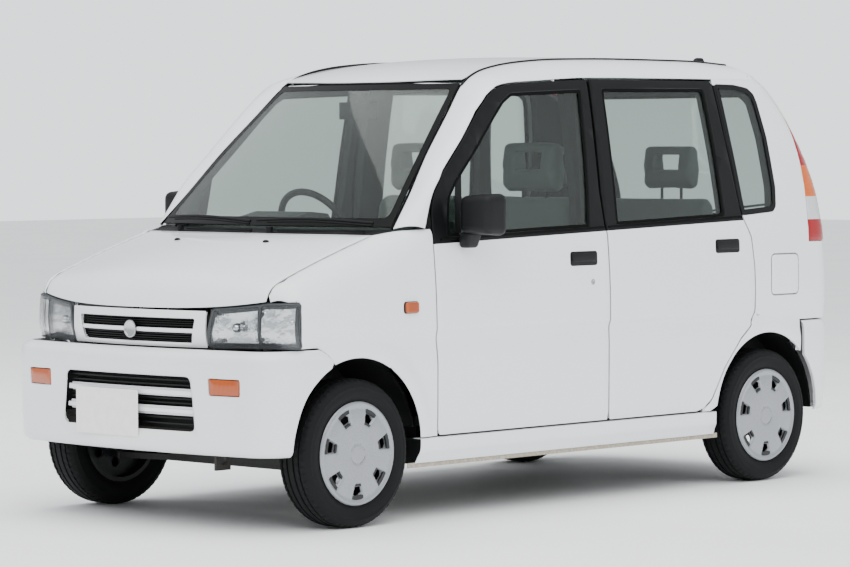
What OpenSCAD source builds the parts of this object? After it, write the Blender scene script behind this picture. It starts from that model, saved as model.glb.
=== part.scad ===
// Small four-door kei-class hatchback with a short bonnet, a tall cabin and a side-hinged back door.
// Millimetres. The front faces -Y, the car's left side is +X, +Z is up, and the wheels stand on Z = 0.
// The origin is on the ground, midway between the bumpers' ends and between the two sides.

/* [Body] */
// Overall length over both bumpers
body_length = 3295; // [3100:5:3960]
// Width over the door panels, without the mirrors
body_width = 1395; // [1300:5:1680]
// Height of the roof's crown above the ground
body_height = 1680; // [1500:5:2020]
// Height of the foot of the side windows at the middle of the car
belt_height = 1020; // [900:5:1060]
// Distance between the front and the rear axle
wheelbase = 2300; // [1915:5:2400]
// Front bumper's face to the front axle
front_overhang = 487; // [440:1:585]

/* [Panels] */
// Gap round each door, the bonnet and the back door
shut_gap = 6; // [5:0.5:7]
// Gap between fixed pieces that only meet
seam = 1; // [0.5:0.5:2]
// Depth of a whole door, from its skin to its inner trim
door_depth = 46; // [38:1:50]
// Depth of a door's outer flange, in front of the opening's frame
flange_depth = 15; // [12:1:18]
// How far the door's inner part is set in from its outline
flange_width = 16; // [12:1:20]
// Thickness of the wings, pillars and quarter panels
panel_wall = 30; // [20:1:35]
// Thickness of the roof with its lining
roof_wall = 28; // [20:1:40]
// Thickness of the bonnet with its frame
bonnet_wall = 18; // [12:1:24]
// Thickness of a bumper's shell
bumper_wall = 20; // [12:1:26]
// Thickness of the window glass
glass = 5; // [4:0.5:6]
// Thickness of the floor and the bulkhead
floor_wall = 18; // [12:1:24]

/* [Wheels] */
// Radius of the tyre
tyre_radius = 262; // [250:1:275]
// Width of the tyre
tyre_width = 150; // [135:1:160]
// Radius of the rim's bead seat
rim_radius = 166; // [160:1:172]
// Radius of the wheel cover
cover_radius = 182; // [176:1:190]
// Number of windows in the wheel cover
cover_windows = 7; // [5:1:9]
// Distance between the middles of the two tyres on an axle
track = 1234; // [1190:2:1260]
// Radius of the wheel arches
arch_radius = 318; // [305:1:325]
// Radius of the spindle that carries a wheel
spindle_radius = 15; // [12:0.5:18]
// Running clearance round a spindle, pin or shaft
running = 0.05; // [0.02:0.01:0.1]

/* [Towing eyes] */
// Radius of the hole in a towing eye
tow_bore = 14; // [10:0.5:18]
// Thickness of a towing eye's plate
tow_plate = 12; // [8:1:16]

/* [Cabin] */
// Width of one front seat
seat_width = 470; // [420:5:480]
// Distance from the car's middle to the middle of a front seat
seat_offset = 300; // [270:5:310]
// Radius of the steering wheel's rim, to its middle
steering_radius = 180; // [165:1:190]
// Angle of the steering column above the floor
column_angle = 28; // [20:1:40]
// Width of a number plate
plate_width = 330; // [300:5:340]
// Height of a number plate
plate_height = 165; // [140:5:170]

/* [Hidden] */
$fn = 48;

half_l = body_length / 2;
half_w = body_width / 2;
front_axle_y = -half_l + front_overhang;
rear_axle_y = front_axle_y + wheelbase;
hub_z = tyre_radius;
tyre_x = track / 2;

// The body's lines are drawn once, on stations of a car 3295 long, 1395 wide and 1680 high. These three
// functions place a station at its length, width and height on the car of the sizes above.
function sy(y) = lookup(y, [[-1647.5, -half_l], [-1160.5, front_axle_y], [1139.5, rear_axle_y],
    [1647.5, half_l]]);
function sx(x) = x * half_w / 697.5;
function sz(z) = z <= 0 ? z : lookup(z, [[0, 0], [262, tyre_radius], [1020, belt_height],
    [1680, body_height]]);
function at(p) = [sx(p[0]), sy(p[1]), sz(p[2])];
function outline(pts) = [for (p = pts) [sy(p[0]), sz(p[1])]];

// ---- lines of the body ----

// Half width of the body at a height: sill, lower side, crease, belt line, leaning windows
SECTION = [[190, 655], [250, 670], [305, 684], [440, 689], [600, 690], [645, 688], [672, 694], [690, 697.5],
    [800, 697.5], [900, 695], [1000, 690], [1030, 685], [1160, 670], [1300, 652], [1450, 628],
    [1570, 605], [1600, 596], [1625, 576], [1645, 545]];
// Height of the roof's middle line along the car
ROOF = [[-440, 1571], [-405, 1589], [-360, 1606], [-300, 1623], [-200, 1643], [-90, 1658], [60, 1670],
    [300, 1678], [600, 1680], [900, 1678], [1060, 1672], [1150, 1662], [1200, 1648], [1240, 1624]];
// Rear end's middle line against height
REAR = [[190, 1612], [640, 1620], [941, 1614], [1125, 1590], [1245, 1545], [1326, 1502], [1418, 1444],
    [1497, 1384], [1580, 1300], [1648, 1200]];
rear_crown = 8.3e-5;    // how the rear face bows across the car
rear_corner = 105;      // radius of the rear corners, seen from above
front_corner = 150;     // radius of the front bumper's corners

function taper(y) = 12 * pow(max(0, -y - 500) / 1000, 2) + 10 * pow(max(0, y - 900) / 600, 2);
function side_x(y, z) = lookup(z, SECTION) - taper(y);
function skin(y, z) = [side_x(y, z), y, z];

// Bonnet: u runs from its front edge to its rear edge
function bonnet_front_y(x) = -1600 + 3.0e-4 * x * x;
function bonnet_rear_y(x) = -1050 + 2.0e-4 * x * x;
function bonnet_rise_side(u) = 0.195 * (1 - exp(-u / 0.03)) + 0.805 * u + 0.12 * u * (1 - u);
function bonnet_rise_mid(u) = 0.40 * (1 - exp(-u / 0.05)) + 0.60 * u + 0.22 * u * (1 - u);
function bonnet_front_z(x) = 773 + 31 * pow(min(1, abs(x) / 590), 3);
function bonnet_rear_z(x) = 1022 - 2 * pow(abs(x) / 590, 2);
function bonnet_point(x, u) =
    let (w = pow(abs(x) / 590, 2), rise = (1 - w) * bonnet_rise_mid(u) + w * bonnet_rise_side(u))
    [x, bonnet_front_y(x) + u * (bonnet_rear_y(x) - bonnet_front_y(x)),
        bonnet_front_z(x) + rise * (bonnet_rear_z(x) - bonnet_front_z(x))];
bonnet_side = 582;      // half width of the bonnet
// Height of the bonnet's side edge along the car
function edge_z(y) = y < -998 ? bonnet_point(bonnet_side, max(0, (y - bonnet_front_y(bonnet_side))
    / (bonnet_rear_y(bonnet_side) - bonnet_front_y(bonnet_side))))[2]
    : lookup(y, [[-998, 1020], [-872, 1037], [-760, 1041]]);
// Nose below the bonnet: grille and headlights, with the corner turned by arcs
nose_corner = 105;
function nose_y(x, z) = bonnet_front_y(x) + lookup(z, [[600, 22], [640, 8], [700, -4], [773, 0], [806, 9]]);

// Windscreen surface
function screen_y(x, z) = -440 + 54 * pow(x / 471, 2) - 1.05 * (1571 - z)
    - 14 * sin(180 * max(0, min(1, (z - 1046) / 525)));
function screen_half(z) = lookup(z, [[1046, 606], [1300, 545], [1556, 470], [1571, 466]]);

// Roof surface between the two drip strips
function roof_z(x, y) = lookup(y, ROOF) - 20 * pow(x / 500, 2);
function strip_x(y) = lookup(y, [[-400, 466], [-300, 458], [-100, 460], [600, 470], [1240, 478]]);

// Rear end: point at height z, t = 0 at the side ahead of the corner, 1 where the corner is turned
function rear_corner_point(z, a) =
    let (x1 = side_x(1450, z) - rear_corner, y1 = lookup(z, REAR) - rear_crown * x1 * x1 - rear_corner)
    [x1 + rear_corner * cos(a), y1 + rear_corner * sin(a), z];
function rear_y(x, z) = lookup(z, REAR) - rear_crown * x * x;

// Bumper path, seen from above: half of it, from the middle to the wheel arch, moved in by d
function bumper_path(y_mid, dir, r, y_end, d) =
    let (k = 1.49e-4, x1 = 697 - r, y1 = 1647.5 - k * x1 * x1 - r)
    concat([for (x = [0, 180, 360, x1]) [x, dir * (1647.5 - k * x * x - d)]],
        [for (a = [75, 60, 45, 30, 15, 0]) [x1 + (r - d) * cos(a), dir * (y1 + (r - d) * sin(a))]],
        [[697 - d, dir * y_end]]);

// ---- building blocks ----

// Closed wall between two grids of points. With the rows running up or back and the columns running to the
// right, as seen from outside, a is the inner face and b the outer one
module wall(a, b) {
    rows = len(a);
    cols = len(a[0]);
    n = rows * cols;
    faces = concat(
        [for (i = [0:rows - 2], j = [0:cols - 2]) each
            let (p = i * cols + j, q = p + cols)
            [[p, p + 1, q + 1], [p, q + 1, q], [n + p, n + q + 1, n + p + 1], [n + p, n + q, n + q + 1]]],
        [for (j = [0:cols - 2]) each
            let (q = (rows - 1) * cols + j)
            [[j, n + j, n + j + 1], [j, n + j + 1, j + 1], [q, q + 1, n + q + 1], [q, n + q + 1, n + q]]],
        [for (i = [0:rows - 2]) each
            let (p = i * cols, q = p + cols - 1)
            [[p, p + cols, n + p + cols], [p, n + p + cols, n + p],
                [q, n + q, n + q + cols], [q, n + q + cols, q + cols]]]);
    polyhedron([for (r = concat(a, b)) each r], faces);
}
function grid_at(g) = [for (r = g) [for (p = r) at(p)]];
function moved(g, v) = [for (r = g) [for (p = r) p + v]];

// Prism through the car from side to side, of an outline in Y and Z
module through_x(x0, x1) rotate([90, 0, 90]) translate([0, 0, x0]) linear_extrude(x1 - x0) children();
// Prism along the car, of an outline in X and Z
module through_y(y0, y1) translate([0, y1, 0]) rotate([90, 0, 0]) linear_extrude(y1 - y0) children();
module both_sides() {
    children();
    mirror([1, 0, 0]) children();
}
module block(lo, hi) translate(lo) cube(hi - lo);
module rod(x0, x1, r) translate([x0, 0, 0]) rotate([0, 90, 0]) cylinder(h = x1 - x0, r = r);

// Outline moved in by d, mitred at each corner; the points run anticlockwise
function unit(v) = v / norm(v);
function inset(pts, d) = let (n = len(pts)) [for (i = [0:n - 1])
    let (e = unit(pts[i] - pts[(i + n - 1) % n]), f = unit(pts[(i + 1) % n] - pts[i]),
        a = [-e[1], e[0]], b = [-f[1], f[0]])
    pts[i] + d * (a + b) / (1 + a * b)];

// Side wall of the body between two lists of stations, of thickness t, sunk below the skin by s
module side_wall(ys, zs, t, s = 0) {
    g = [for (z = zs) [for (y = ys) skin(y, z)]];
    outer = moved(grid_at(g), [-s, 0, 0]);
    wall(moved(outer, [-t, 0, 0]), outer);
}
SIDE_Z = [290, 440, 600, 645, 690, 800, 900, 1000, 1030, 1160, 1300, 1450, 1600];

// ---- outlines of the side, in Y and Z ----

FRONT_DOOR = [[-738, 300], [180, 300], [185, 330], [182, 800], [174, 1000], [166, 1030], [152, 1160],
    [152, 1300], [154, 1450], [156, 1583], [-105, 1572], [-262, 1563], [-340, 1552], [-378, 1536],
    [-407, 1515], [-470, 1460], [-573, 1352], [-685, 1243], [-746, 1167], [-768, 1100], [-771, 989],
    [-763, 811], [-758, 669], [-748, 560], [-746, 325]];
REAR_DOOR = [[715, 300], [758, 311], [795, 345], [833, 404], [872, 466], [973, 576], [1036, 622],
    [1056, 665], [1062, 755], [1058, 860], [1042, 969], [1016, 1017], [994, 1060], [979, 1114], [932, 1362],
    [902, 1570], [890, 1584], [170, 1584], [168, 1450], [164, 1300], [163, 1160], [175, 1030],
    [181, 1000], [189, 800], [192, 330], [197, 300]];
FRONT_WINDOW = [[-700, 1010], [80, 1030], [92, 1160], [112, 1544], [-279, 1528], [-330, 1500],
    [-395, 1440], [-510, 1325], [-627, 1215], [-680, 1150]];
REAR_WINDOW = [[237, 1035], [889, 1055], [868, 1300], [842, 1552], [235, 1548]];
QUARTER_HOLE = [[1000, 1056], [1203, 1068], [1222, 1090], [1228, 1165], [1205, 1363], [1172, 1500],
    [1157, 1534], [1123, 1558], [1039, 1570], [920, 1572], [948, 1362], [986, 1120]];
LAMP = [[1700, 945], [1700, 1574], [1312, 1574], [1336, 1524], [1364, 1444], [1389, 1344], [1412, 1252],
    [1424, 1163], [1425, 1063], [1422, 945]];
FLAP = [[1170, 740], [1345, 740], [1346, 896], [1172, 897]];

module side_outline(pts, d = 0, x1 = 800) through_x(300, x1) polygon(inset(outline(pts), d));
module arch(front, r) {
    y = front ? front_axle_y + 5 : rear_axle_y + 10;
    z = front ? hub_z + 16 : hub_z + 10;
    translate([0, y, z]) rod(300, 800, r);
    translate([0, y - r, 0]) cube([800, 2 * r, z]);
}

// ---- fixed body ----

sill_in = half_w - 122.5;    // inner face of the sills
tow_x = 322;
tow_z = 238;
tow_front_y = sy(-1470);
tow_rear_y = sy(1500);

module floor_pan() color("dimgray") {
    rail_w = 60;
    rail_x = 300;
    floor_z = 216;
    rear_z = 392;
    difference() {
        union() {
            // floor, heel board and bulkhead
            through_x(-sill_in + seam, sill_in - seam) polygon(outline([[-905, 1000], [-905, 430], [-790, floor_z],
                [440, floor_z], [520, rear_z], [800, rear_z], [800, rear_z + floor_wall],
                [510, rear_z + floor_wall], [430, floor_z + floor_wall], [-780, floor_z + floor_wall],
                [-905 + floor_wall, 440], [-905 + floor_wall, 1000]]));
            // luggage floor between the rear wheel housings, and the panel behind it
            through_x(-sx(480), sx(480)) polygon(outline([[798, rear_z], [1560, rear_z], [1560, 640],
                [1560 - floor_wall, 640], [1560 - floor_wall, rear_z + floor_wall], [798, rear_z + floor_wall]]));
            // side rails under the engine and the front panel that joins them
            both_sides() block([rail_x - 2, sy(-1520), sz(300)], [rail_x - 2 + rail_w, sy(-900), sz(360)]);
            block([-sx(560), sy(-1525), sz(300)], [sx(560), sy(-1505), sz(380)]);
            both_sides() block([sx(316), sy(-1525), sz(379)], [sx(342), sy(-1505), sz(750)]);
            // plates of the towing eyes, front and rear
            block([tow_x, tow_front_y - 34, tow_z - 34], [tow_x + tow_plate, tow_front_y + 34, sz(301)]);
            block([tow_x, tow_rear_y - 34, tow_z - 34], [tow_x + tow_plate, tow_rear_y + 34, sz(rear_z) + 1]);
            block([-sx(342), sy(-1525), sz(720)], [sx(342), sy(-1505), sz(750)]);
        }
        both_sides() arch(false, arch_radius + 20);
        both_sides() translate([0, front_axle_y + 5, hub_z + 16]) rod(374, 800, arch_radius + 17);
        for (y = [tow_front_y, tow_rear_y]) translate([tow_x - 1, y, tow_z]) rotate([0, 90, 0])
            cylinder(h = tow_plate + 2, r = tow_bore);
    }
}

module housing(front) {
    r = arch_radius + 8;
    w = 8;
    x0 = front ? 375 : 492;
    x1 = half_w - (front ? 60 : 52);
    y = front ? front_axle_y + 5 : rear_axle_y + 10;
    z = front ? hub_z + 16 : hub_z + 10;
    difference() {
        translate([0, y, z]) rod(x0, x1, r + w);
        translate([0, y, z]) rod(x0 + w, x1 + 1, r);
        block([x0 - 1, y - r - 20, z - r - 20], [x1 + 2, y + r + 20, z]);
        // behind the front wheel and ahead of the rear one it ends above the sill
        block([x0 - 1, front ? y : y - r - 20, z - 40], [x1 + 2, front ? y + r + 20 : y, sz(330) + 4]);
        // room for the strut, or for the rear damper and the axle
        translate([front ? 425 : x0 - 1, y - 5, 0]) block([0, -62, z - 1], [front ? 127 : w + 2, 62, z + r + w + 1]);
        translate([0, y - 5, 0]) block([x0 - 1, -75, z - 1], [x0 + w + 1, 75, z + 60]);
    }
}
module wheel_housings() color("#1c1d1f") both_sides() {
    housing(true);
    housing(false);
}

// Steering axis of a front wheel, from the ball joint to the strut's top, on the left side
ball = [562, front_axle_y, hub_z - 72];
strut_top = [462, front_axle_y, hub_z + 500];
strut_angle = atan((ball[0] - strut_top[0]) / (strut_top[2] - ball[2]));
strut_length = norm(strut_top - ball);
strut_r = 20;
rod_r = 11;
pin_r = 12;
spindle_in = 512;
spindle_out = tyre_x - 18;
wheel_back = tyre_x - 61;   // plane in which a wheel's hub starts
module on_steering_axis() translate(ball) rotate([0, -strut_angle, 0]) children();

module front_suspension() color("#2a2b2d") {
    arm_z = ball[2] - 14;
    tower_y = 60;
    block([-331, front_axle_y + 36, arm_z], [331, front_axle_y + 100, 245]);
    translate([0, front_axle_y + 121, 262]) rod(-300, 300, 22);
    both_sides() {
        // lower arm, bored for the ball joint's pin
        difference() {
            union() {
                translate([0, 0, arm_z]) linear_extrude(22) polygon([[330, front_axle_y + 36],
                    [330, front_axle_y + 100], [ball[0] - 6, ball[1] + 17], [ball[0] - 6, ball[1] - 17]]);
                translate([ball[0], ball[1], arm_z]) cylinder(h = 22, r = 20);
            }
            on_steering_axis() translate([0, 0, -60]) cylinder(h = 120, r = pin_r + running);
        }
        // spring tower, bored for the strut's rod
        block([360, front_axle_y - tower_y, 300], [372, front_axle_y + tower_y, strut_top[2]]);
        difference() {
            block([360, front_axle_y - tower_y, strut_top[2] - 12], [530, front_axle_y + tower_y, strut_top[2]]);
            on_steering_axis() translate([0, 0, strut_length - 60]) cylinder(h = 120, r = rod_r + running);
        }
    }
}

module knuckle() color("#3a3b3e") {
    plate_r = 96;
    seat = strut_length - 215;      // spring seat, clear of the tyre
    on_steering_axis() {
        translate([0, 0, -16]) cylinder(h = 38, r = pin_r);
        translate([0, 0, 150]) cylinder(h = strut_length - 220, r = strut_r);
        translate([0, 0, strut_length - 80]) cylinder(h = 96, r = rod_r);
        // spring round the strut, on its seat
        translate([0, 0, seat]) cylinder(h = 6, r = 56);
        for (k = [0:4]) translate([0, 0, seat + 13 + 29 * k])
            rotate_extrude() translate([42, 0]) circle(r = 6);
        translate([0, 0, seat + 5]) cylinder(h = 124, r = 37);
    }
    block([526, front_axle_y - 26, ball[2] + 13], [552, front_axle_y + 26, hub_z + 96]);
    block([540, front_axle_y - 17, ball[2] + 13], [572, front_axle_y + 17, ball[2] + 23]);
    translate([0, front_axle_y, hub_z]) rod(522, wheel_back - 8, 44);
    translate([0, front_axle_y, hub_z]) rod(spindle_in, spindle_out, spindle_radius);
    // disc's backing plate, flat below where the arm passes
    difference() {
        translate([0, front_axle_y, hub_z]) rod(wheel_back - 12, wheel_back - 6, plate_r);
        block([500, front_axle_y - 200, hub_z - 150], [700, front_axle_y + 200, hub_z - 54]);
    }
    // arm for the steering
    block([500, front_axle_y + 20, hub_z - 12], [530, front_axle_y + 104, hub_z + 8]);
}
module knuckle_left() knuckle();
module knuckle_right() mirror([1, 0, 0]) knuckle();

module rear_axle() color("#2a2b2d") {
    drum_r = 98;
    translate([0, rear_axle_y, hub_z]) rod(-505, 505, 26);
    both_sides() {
        translate([0, rear_axle_y, hub_z]) {
            rod(500, wheel_back - 6, drum_r);
            rod(500, spindle_out, spindle_radius);
        }
        // trailing arm, spring and damper
        block([400, rear_axle_y - 380, hub_z - 28], [440, rear_axle_y + 10, hub_z + 18]);
        translate([420, rear_axle_y - 390, hub_z - 5]) rod(-26, 26, 24);
        translate([350, rear_axle_y, hub_z + 18]) cylinder(h = 106, r = 40);
        translate([455, rear_axle_y + 30, hub_z + 10]) cylinder(h = 118, r = 20);
    }
}

// Wheel lying on its side: outer face up, middle of the tyre at zero
module wheel_profile() {
    back = wheel_back - tyre_x;
    face = tyre_width / 2 - 4;      // plane of the cover
    lip = rim_radius + 10;
    well = rim_radius - 6;
    window = 360 / cover_windows;
    difference() {
        union() {
            // rim, its disc and the hub behind it
            rotate_extrude() polygon([[0, back], [40, back], [40, -26], [well, -26], [well, -66], [lip, -66],
                [lip, -62], [rim_radius, -60], [rim_radius, 60], [lip, 62], [lip, 66], [well, 66],
                [well, -18], [0, -18]]);
            // cover, with its turned-in edge
            rotate_extrude() polygon([[0, face - 6], [cover_radius - 30, face - 9], [well - 9, 52],
                [well + 2, 52], [well + 2, 65], [cover_radius - 3, 67], [cover_radius, 69],
                [cover_radius - 4, face - 2], [cover_radius - 12, face - 2], [120, face], [36, face + 1],
                [33, face - 1], [0, face - 1]]);
        }
        translate([0, 0, back - 1]) cylinder(h = spindle_out - wheel_back + 6, r = spindle_radius + running);
        for (k = [0:cover_windows - 1]) rotate([0, 0, window * k]) {
            translate([0, 0, face - 22]) linear_extrude(40) polygon([[114, -15], [116, -18], [142, -27],
                [146, -24], [148, 0], [146, 24], [142, 27], [116, 18], [114, 15]]);
            translate([104, 0, -40]) cylinder(h = 40, r = 20);
        }
    }
}
module tyre_profile() {
    w = tyre_width / 2;
    r = tyre_radius;
    bead = rim_radius + 0.5;
    rotate_extrude() polygon([[bead, -60], [bead + 12, -61], [bead + 22, -66], [bead + 44, -w],
        [r - 26, -w + 3], [r - 10, -w + 12], [r - 3, -w + 22], [r, -w + 34], [r, w - 34], [r - 3, w - 22],
        [r - 10, w - 12], [r - 26, w - 3], [bead + 44, w], [bead + 22, 66], [bead + 12, 61], [bead, 60],
        [bead, 46], [bead + 16, 50], [bead + 44, w - 8], [r - 26, w - 12], [r - 14, w - 28],
        [r - 14, -w + 28], [r - 26, -w + 12], [bead + 44, -w + 8], [bead + 16, -50], [bead, -46]]);
}
module wheel_place(front, left) mirror([left ? 0 : 1, 0, 0])
    translate([tyre_x, front ? front_axle_y : rear_axle_y, hub_z]) rotate([0, 90, 0]) children();
module front_tyre_left() color("#202122") wheel_place(true, true) tyre_profile();
module front_tyre_right() color("#202122") wheel_place(true, false) tyre_profile();
module rear_tyre_left() color("#202122") wheel_place(false, true) tyre_profile();
module rear_tyre_right() color("#202122") wheel_place(false, false) tyre_profile();
module front_wheel_left() color("#b9babf") wheel_place(true, true) wheel_profile();
module front_wheel_right() color("#b9babf") wheel_place(true, false) wheel_profile();
module rear_wheel_left() color("#b9babf") wheel_place(false, true) wheel_profile();
module rear_wheel_right() color("#b9babf") wheel_place(false, false) wheel_profile();

// Engine and gearbox, one plain block in its bay
module engine() color("gray") block([-250, sy(-1440), 268], [250, sy(-1068), sz(690)]);

module radiator() color("#26272a") block([-300, sy(-1503), sz(384)], [300, sy(-1470), sz(700)]);

module exhaust() color("#77736d") {
    pipe_r = 19;
    pipe_z = 192;
    translate([-140, sy(-950), pipe_z]) rotate([-90, 0, 0]) cylinder(h = sy(1330) - sy(-950), r = pipe_r);
    translate([-140, sy(-950), pipe_z]) cylinder(h = 74, r = pipe_r);
    // silencer across the back, and its tail
    translate([0, sy(1400), 262]) rod(-300, 130, 78);
    translate([-240, sy(1400), 222]) rotate([-90, 0, 0]) cylinder(h = sy(1600) - sy(1400), r = 17);
}

module fuel_tank() color("#333538") through_x(-270, 290)
    polygon(outline([[560, 214], [880, 214], [900, 240], [900, 360], [880, 386], [560, 386], [540, 360],
        [540, 240]]));

// ---- front end ----

// Front lamp: from x0 round the corner to the wing, between the bumper and the bonnet's edge
lamp_x = 352;
lamp_foot = 636;
function lamp_path(z, t) =
    let (x1 = side_x(-1400, 750) - nose_corner, y1 = nose_y(x1, z) + nose_corner)
    concat([for (x = [lamp_x, 430, 510, x1]) [x, nose_y(x, z) + t, z]],
        [for (a = [75, 60, 45, 30, 17]) [x1 + (nose_corner - t) * cos(a), y1 - (nose_corner - t) * sin(a), z]]);
module headlight() {
    depth = 66;
    tops = [for (p = lamp_path(700, 0)) bonnet_front_z(min(p[0], 590)) - shut_gap];
    function raised(g) = [for (k = [0:4]) let (f = k / 4) [for (j = [0:len(tops) - 1])
        let (z = lamp_foot + f * (tops[j] - lamp_foot)) at([lamp_path(z, g)[j][0], lamp_path(z, g)[j][1], z])]];
    wall(raised(depth), raised(0));
}
module front_lamps() color("#dfe5e8") both_sides() {
    difference() {
        headlight();
        block([sx(640), sy(-1425.5), 0], [800, sy(-1300), 1000]);
    }
    // amber lamp in the bumper
    intersection() {
        bumper_shell(true, 4, 44);
        through_y(sy(-1647), sy(-1450)) polygon(inset(indicator, seam));
    }
}
indicator = [[sx(418), sz(477)], [sx(553), sz(477)], [sx(555), sz(536)], [sx(417), sz(537)]];

module grille() {
    function face(d, zs) = [for (z = zs) [for (x = [-346, -180, 0, 180, 346]) at([x, nose_y(x, z) + d,
        min(z, bonnet_front_z(x) - shut_gap)])]];
    color("white") {
        difference() {
            wall(face(26, [634, 660, 710, 772]), face(0, [634, 660, 710, 772]));
            through_y(sy(-1650), sy(-1500)) polygon([[-sx(282), sz(646)], [sx(282), sz(646)], [sx(304), sz(736)],
                [-sx(304), sz(736)]]);
        }
        intersection() {
            union() for (z = [658, 676, 694, 712, 728]) wall(face(24, [z - 4, z + 4]), face(8, [z - 4, z + 4]));
            through_y(sy(-1650), sy(-1500)) polygon([[-sx(282), sz(646)], [sx(282), sz(646)], [sx(304), sz(736)],
                [-sx(304), sz(736)]]);
        }
    }
}

// Bumper shell of thickness t, sunk by d, over half the car's width
function bumper_face(front, d) =
    let (rows = front ? [[266, 26], [288, 9], [380, 2], [545, 0], [590, 0], [616, 8], [628, 22]]
        : [[262, 30], [286, 12], [380, 4], [520, 0], [600, 0], [620, 7], [630, 18]])
    [for (r = rows) [for (p = bumper_path(0, front ? -1 : 1, front ? front_corner : 125,
        front ? 1325 : 1372, r[1] + d)) at([p[0], p[1], r[0]])]];
module bumper_shell(front, d, t) {
    if (front) wall(bumper_face(front, d + t), bumper_face(front, d));
    else wall(bumper_face(front, d), bumper_face(front, d + t));
}
plate_z = 318;
plate_mid = -82;        // the front plate sits to the car's right
module front_bumper() color("white") difference() {
    union() both_sides() bumper_shell(true, 0, bumper_wall);
    both_sides() arch(true, arch_radius);
    both_sides() through_x(500, 800) polygon(outline([[-1300, 640], [-1345, 640], [-1308, 616], [-1266, 572],
        [-1200, 560]]));
    both_sides() through_y(sy(-1647), sy(-1450)) polygon(indicator);
    through_y(sy(-1660), sy(-1500)) polygon([[-sx(348), sz(346)], [sx(348), sz(346)], [sx(325), sz(538)],
        [-sx(325), sz(538)]]);
    translate([plate_mid - plate_width / 2 - 3, -half_l - 5, sz(plate_z) - 3])
        cube([plate_width + 6, 16, plate_height + 6]);
}
module number_plates() color("white") {
    t = 4;
    translate([plate_mid - plate_width / 2, -half_l + 1, sz(plate_z)]) cube([plate_width, t, plate_height]);
    translate([plate_mid - 60, -half_l + 1 + t, sz(plate_z) + 4]) cube([120, 5.9, 18]);
    translate([-plate_width / 2, half_l - 1 - t, sz(360)]) cube([plate_width, t, plate_height]);
    translate([-60, half_l - 5 - t, sz(430)]) cube([120, 5, 20]);
}
module rear_bumper() color("white") difference() {
    union() both_sides() bumper_shell(false, 0, bumper_wall);
    both_sides() arch(false, arch_radius);
    translate([-plate_width / 2 - 3, half_l - 9, sz(360) - 3]) cube([plate_width + 6, 16, plate_height + 6]);
}

// Wing: over the shoulder from the bonnet's edge and down the side
function wing_top_x(y) = lookup(y, [[-998, bonnet_side + shut_gap], [-905, 618], [-872, 640], [-760, 676]]);
nose_x = side_x(-1400, 750) - nose_corner;
function wing_x(y, z) = let (y1 = nose_y(nose_x, 790) + nose_corner) y > y1 ? side_x(y, z)
    : min(side_x(y, z), nose_x + sqrt(max(0, nose_corner * nose_corner - (y1 - y) * (y1 - y))));
function wing_row(y, t) =
    let (xb = wing_top_x(y), zb = edge_z(y), drop = lookup(y, [[-1425, 132], [-1000, 118], [-760, 45]]))
    concat([for (a = [0, 22.5, 45, 67.5]) [xb + (wing_x(y, zb - drop) - xb) * sin(a) - t * sin(a),
            y, zb - drop * (1 - cos(a)) - t * cos(a)]],
        [for (z = [zb - drop, 690, 645, 600, 440, 300]) [wing_x(y, z) - t, y, z]]);
module wing() {
    ys = [-1490, -1475, -1450, -1424, -1380, -1320, -1250, -1150, -1050, -998, -950, -905, -872, -820, -780];
    difference() {
        wall(grid_at([for (y = ys) wing_row(y, panel_wall / 3)]), grid_at([for (y = ys) wing_row(y, 0)]));
        arch(true, arch_radius);
        // the lamp, which the wing's nose passes over
        through_x(400, 800) polygon(outline([[-1600, 200], [-1424, 200], [-1424, 799], [-1600, 799]]));
        // front bumper and the door's flange
        through_x(400, 800) polygon(outline([[-1500, 200], [-1500, 638], [-1339, 638], [-1302, 618],
            [-1260, 576], [-1190, 560], [-1190, 200]]));
        through_x(400, 800) polygon(inset(outline(FRONT_DOOR), -shut_gap));
        // windscreen and pillar foot
        through_x(400, 800) polygon(outline([[-909, 1046], [-872, 1033], [-812, 1038], [-700, 1038],
            [-700, 1100], [-909, 1100]]));
    }
}
module wings() color("white") both_sides() wing();

module sills() color("white") both_sides() difference() {
    translate([0, sy(-905), 0]) rotate([90, 0, 0]) mirror([0, 0, 1])
        linear_extrude(sy(870) - sy(-905)) polygon([[half_w - 38, sz(200)], [half_w - 15, sz(250)],
            [half_w - 13, sz(294)], [half_w - 80, sz(294)], [half_w - 80, sz(330)], [sill_in, sz(330)],
            [sill_in, sz(236)], [sill_in + 24, sz(200)]]);
    arch(true, arch_radius);
    arch(false, arch_radius);
    through_x(300, 800) polygon(outline([[-910, 290], [-747, 290], [-747, 340], [-910, 340]]));
}

module cowl() {
    xs = [-600, -400, -200, 0, 200, 400, 600];
    function edge(z, f) = [for (k = xs) let (x = abs(k) < 590 ? k : sign(k) * (588 + 20 * f), a = max(bonnet_rear_y(x) + shut_gap, -1044), b = screen_y(x, 1050) - 4)
        at([x, a + f * (b - a), z])];
    color("#1c1d1f") {
        wall([edge(994, 0), edge(998, 0.3), edge(1022, 1)], [edge(1008, 0), edge(1012, 0.3), edge(1036, 1)]);
        // two parked wiper arms with their blades
        for (w = [[-330, -4.6], [190, 10]]) translate([sx(w[0]), sy(screen_y(w[0], 1046)) - 16, sz(1022)])
            rotate([0, 0, w[1]]) rotate([0, 90, 0]) {
                translate([0, -6, -90]) cylinder(h = 420, r = 5);
                translate([-8, 4, -60]) cylinder(h = 380, r = 4);
                translate([0, -6, -90]) rotate([0, -90, 0]) translate([0, 0, -12]) cylinder(h = 34, r = 12);
            }
    }
}

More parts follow.
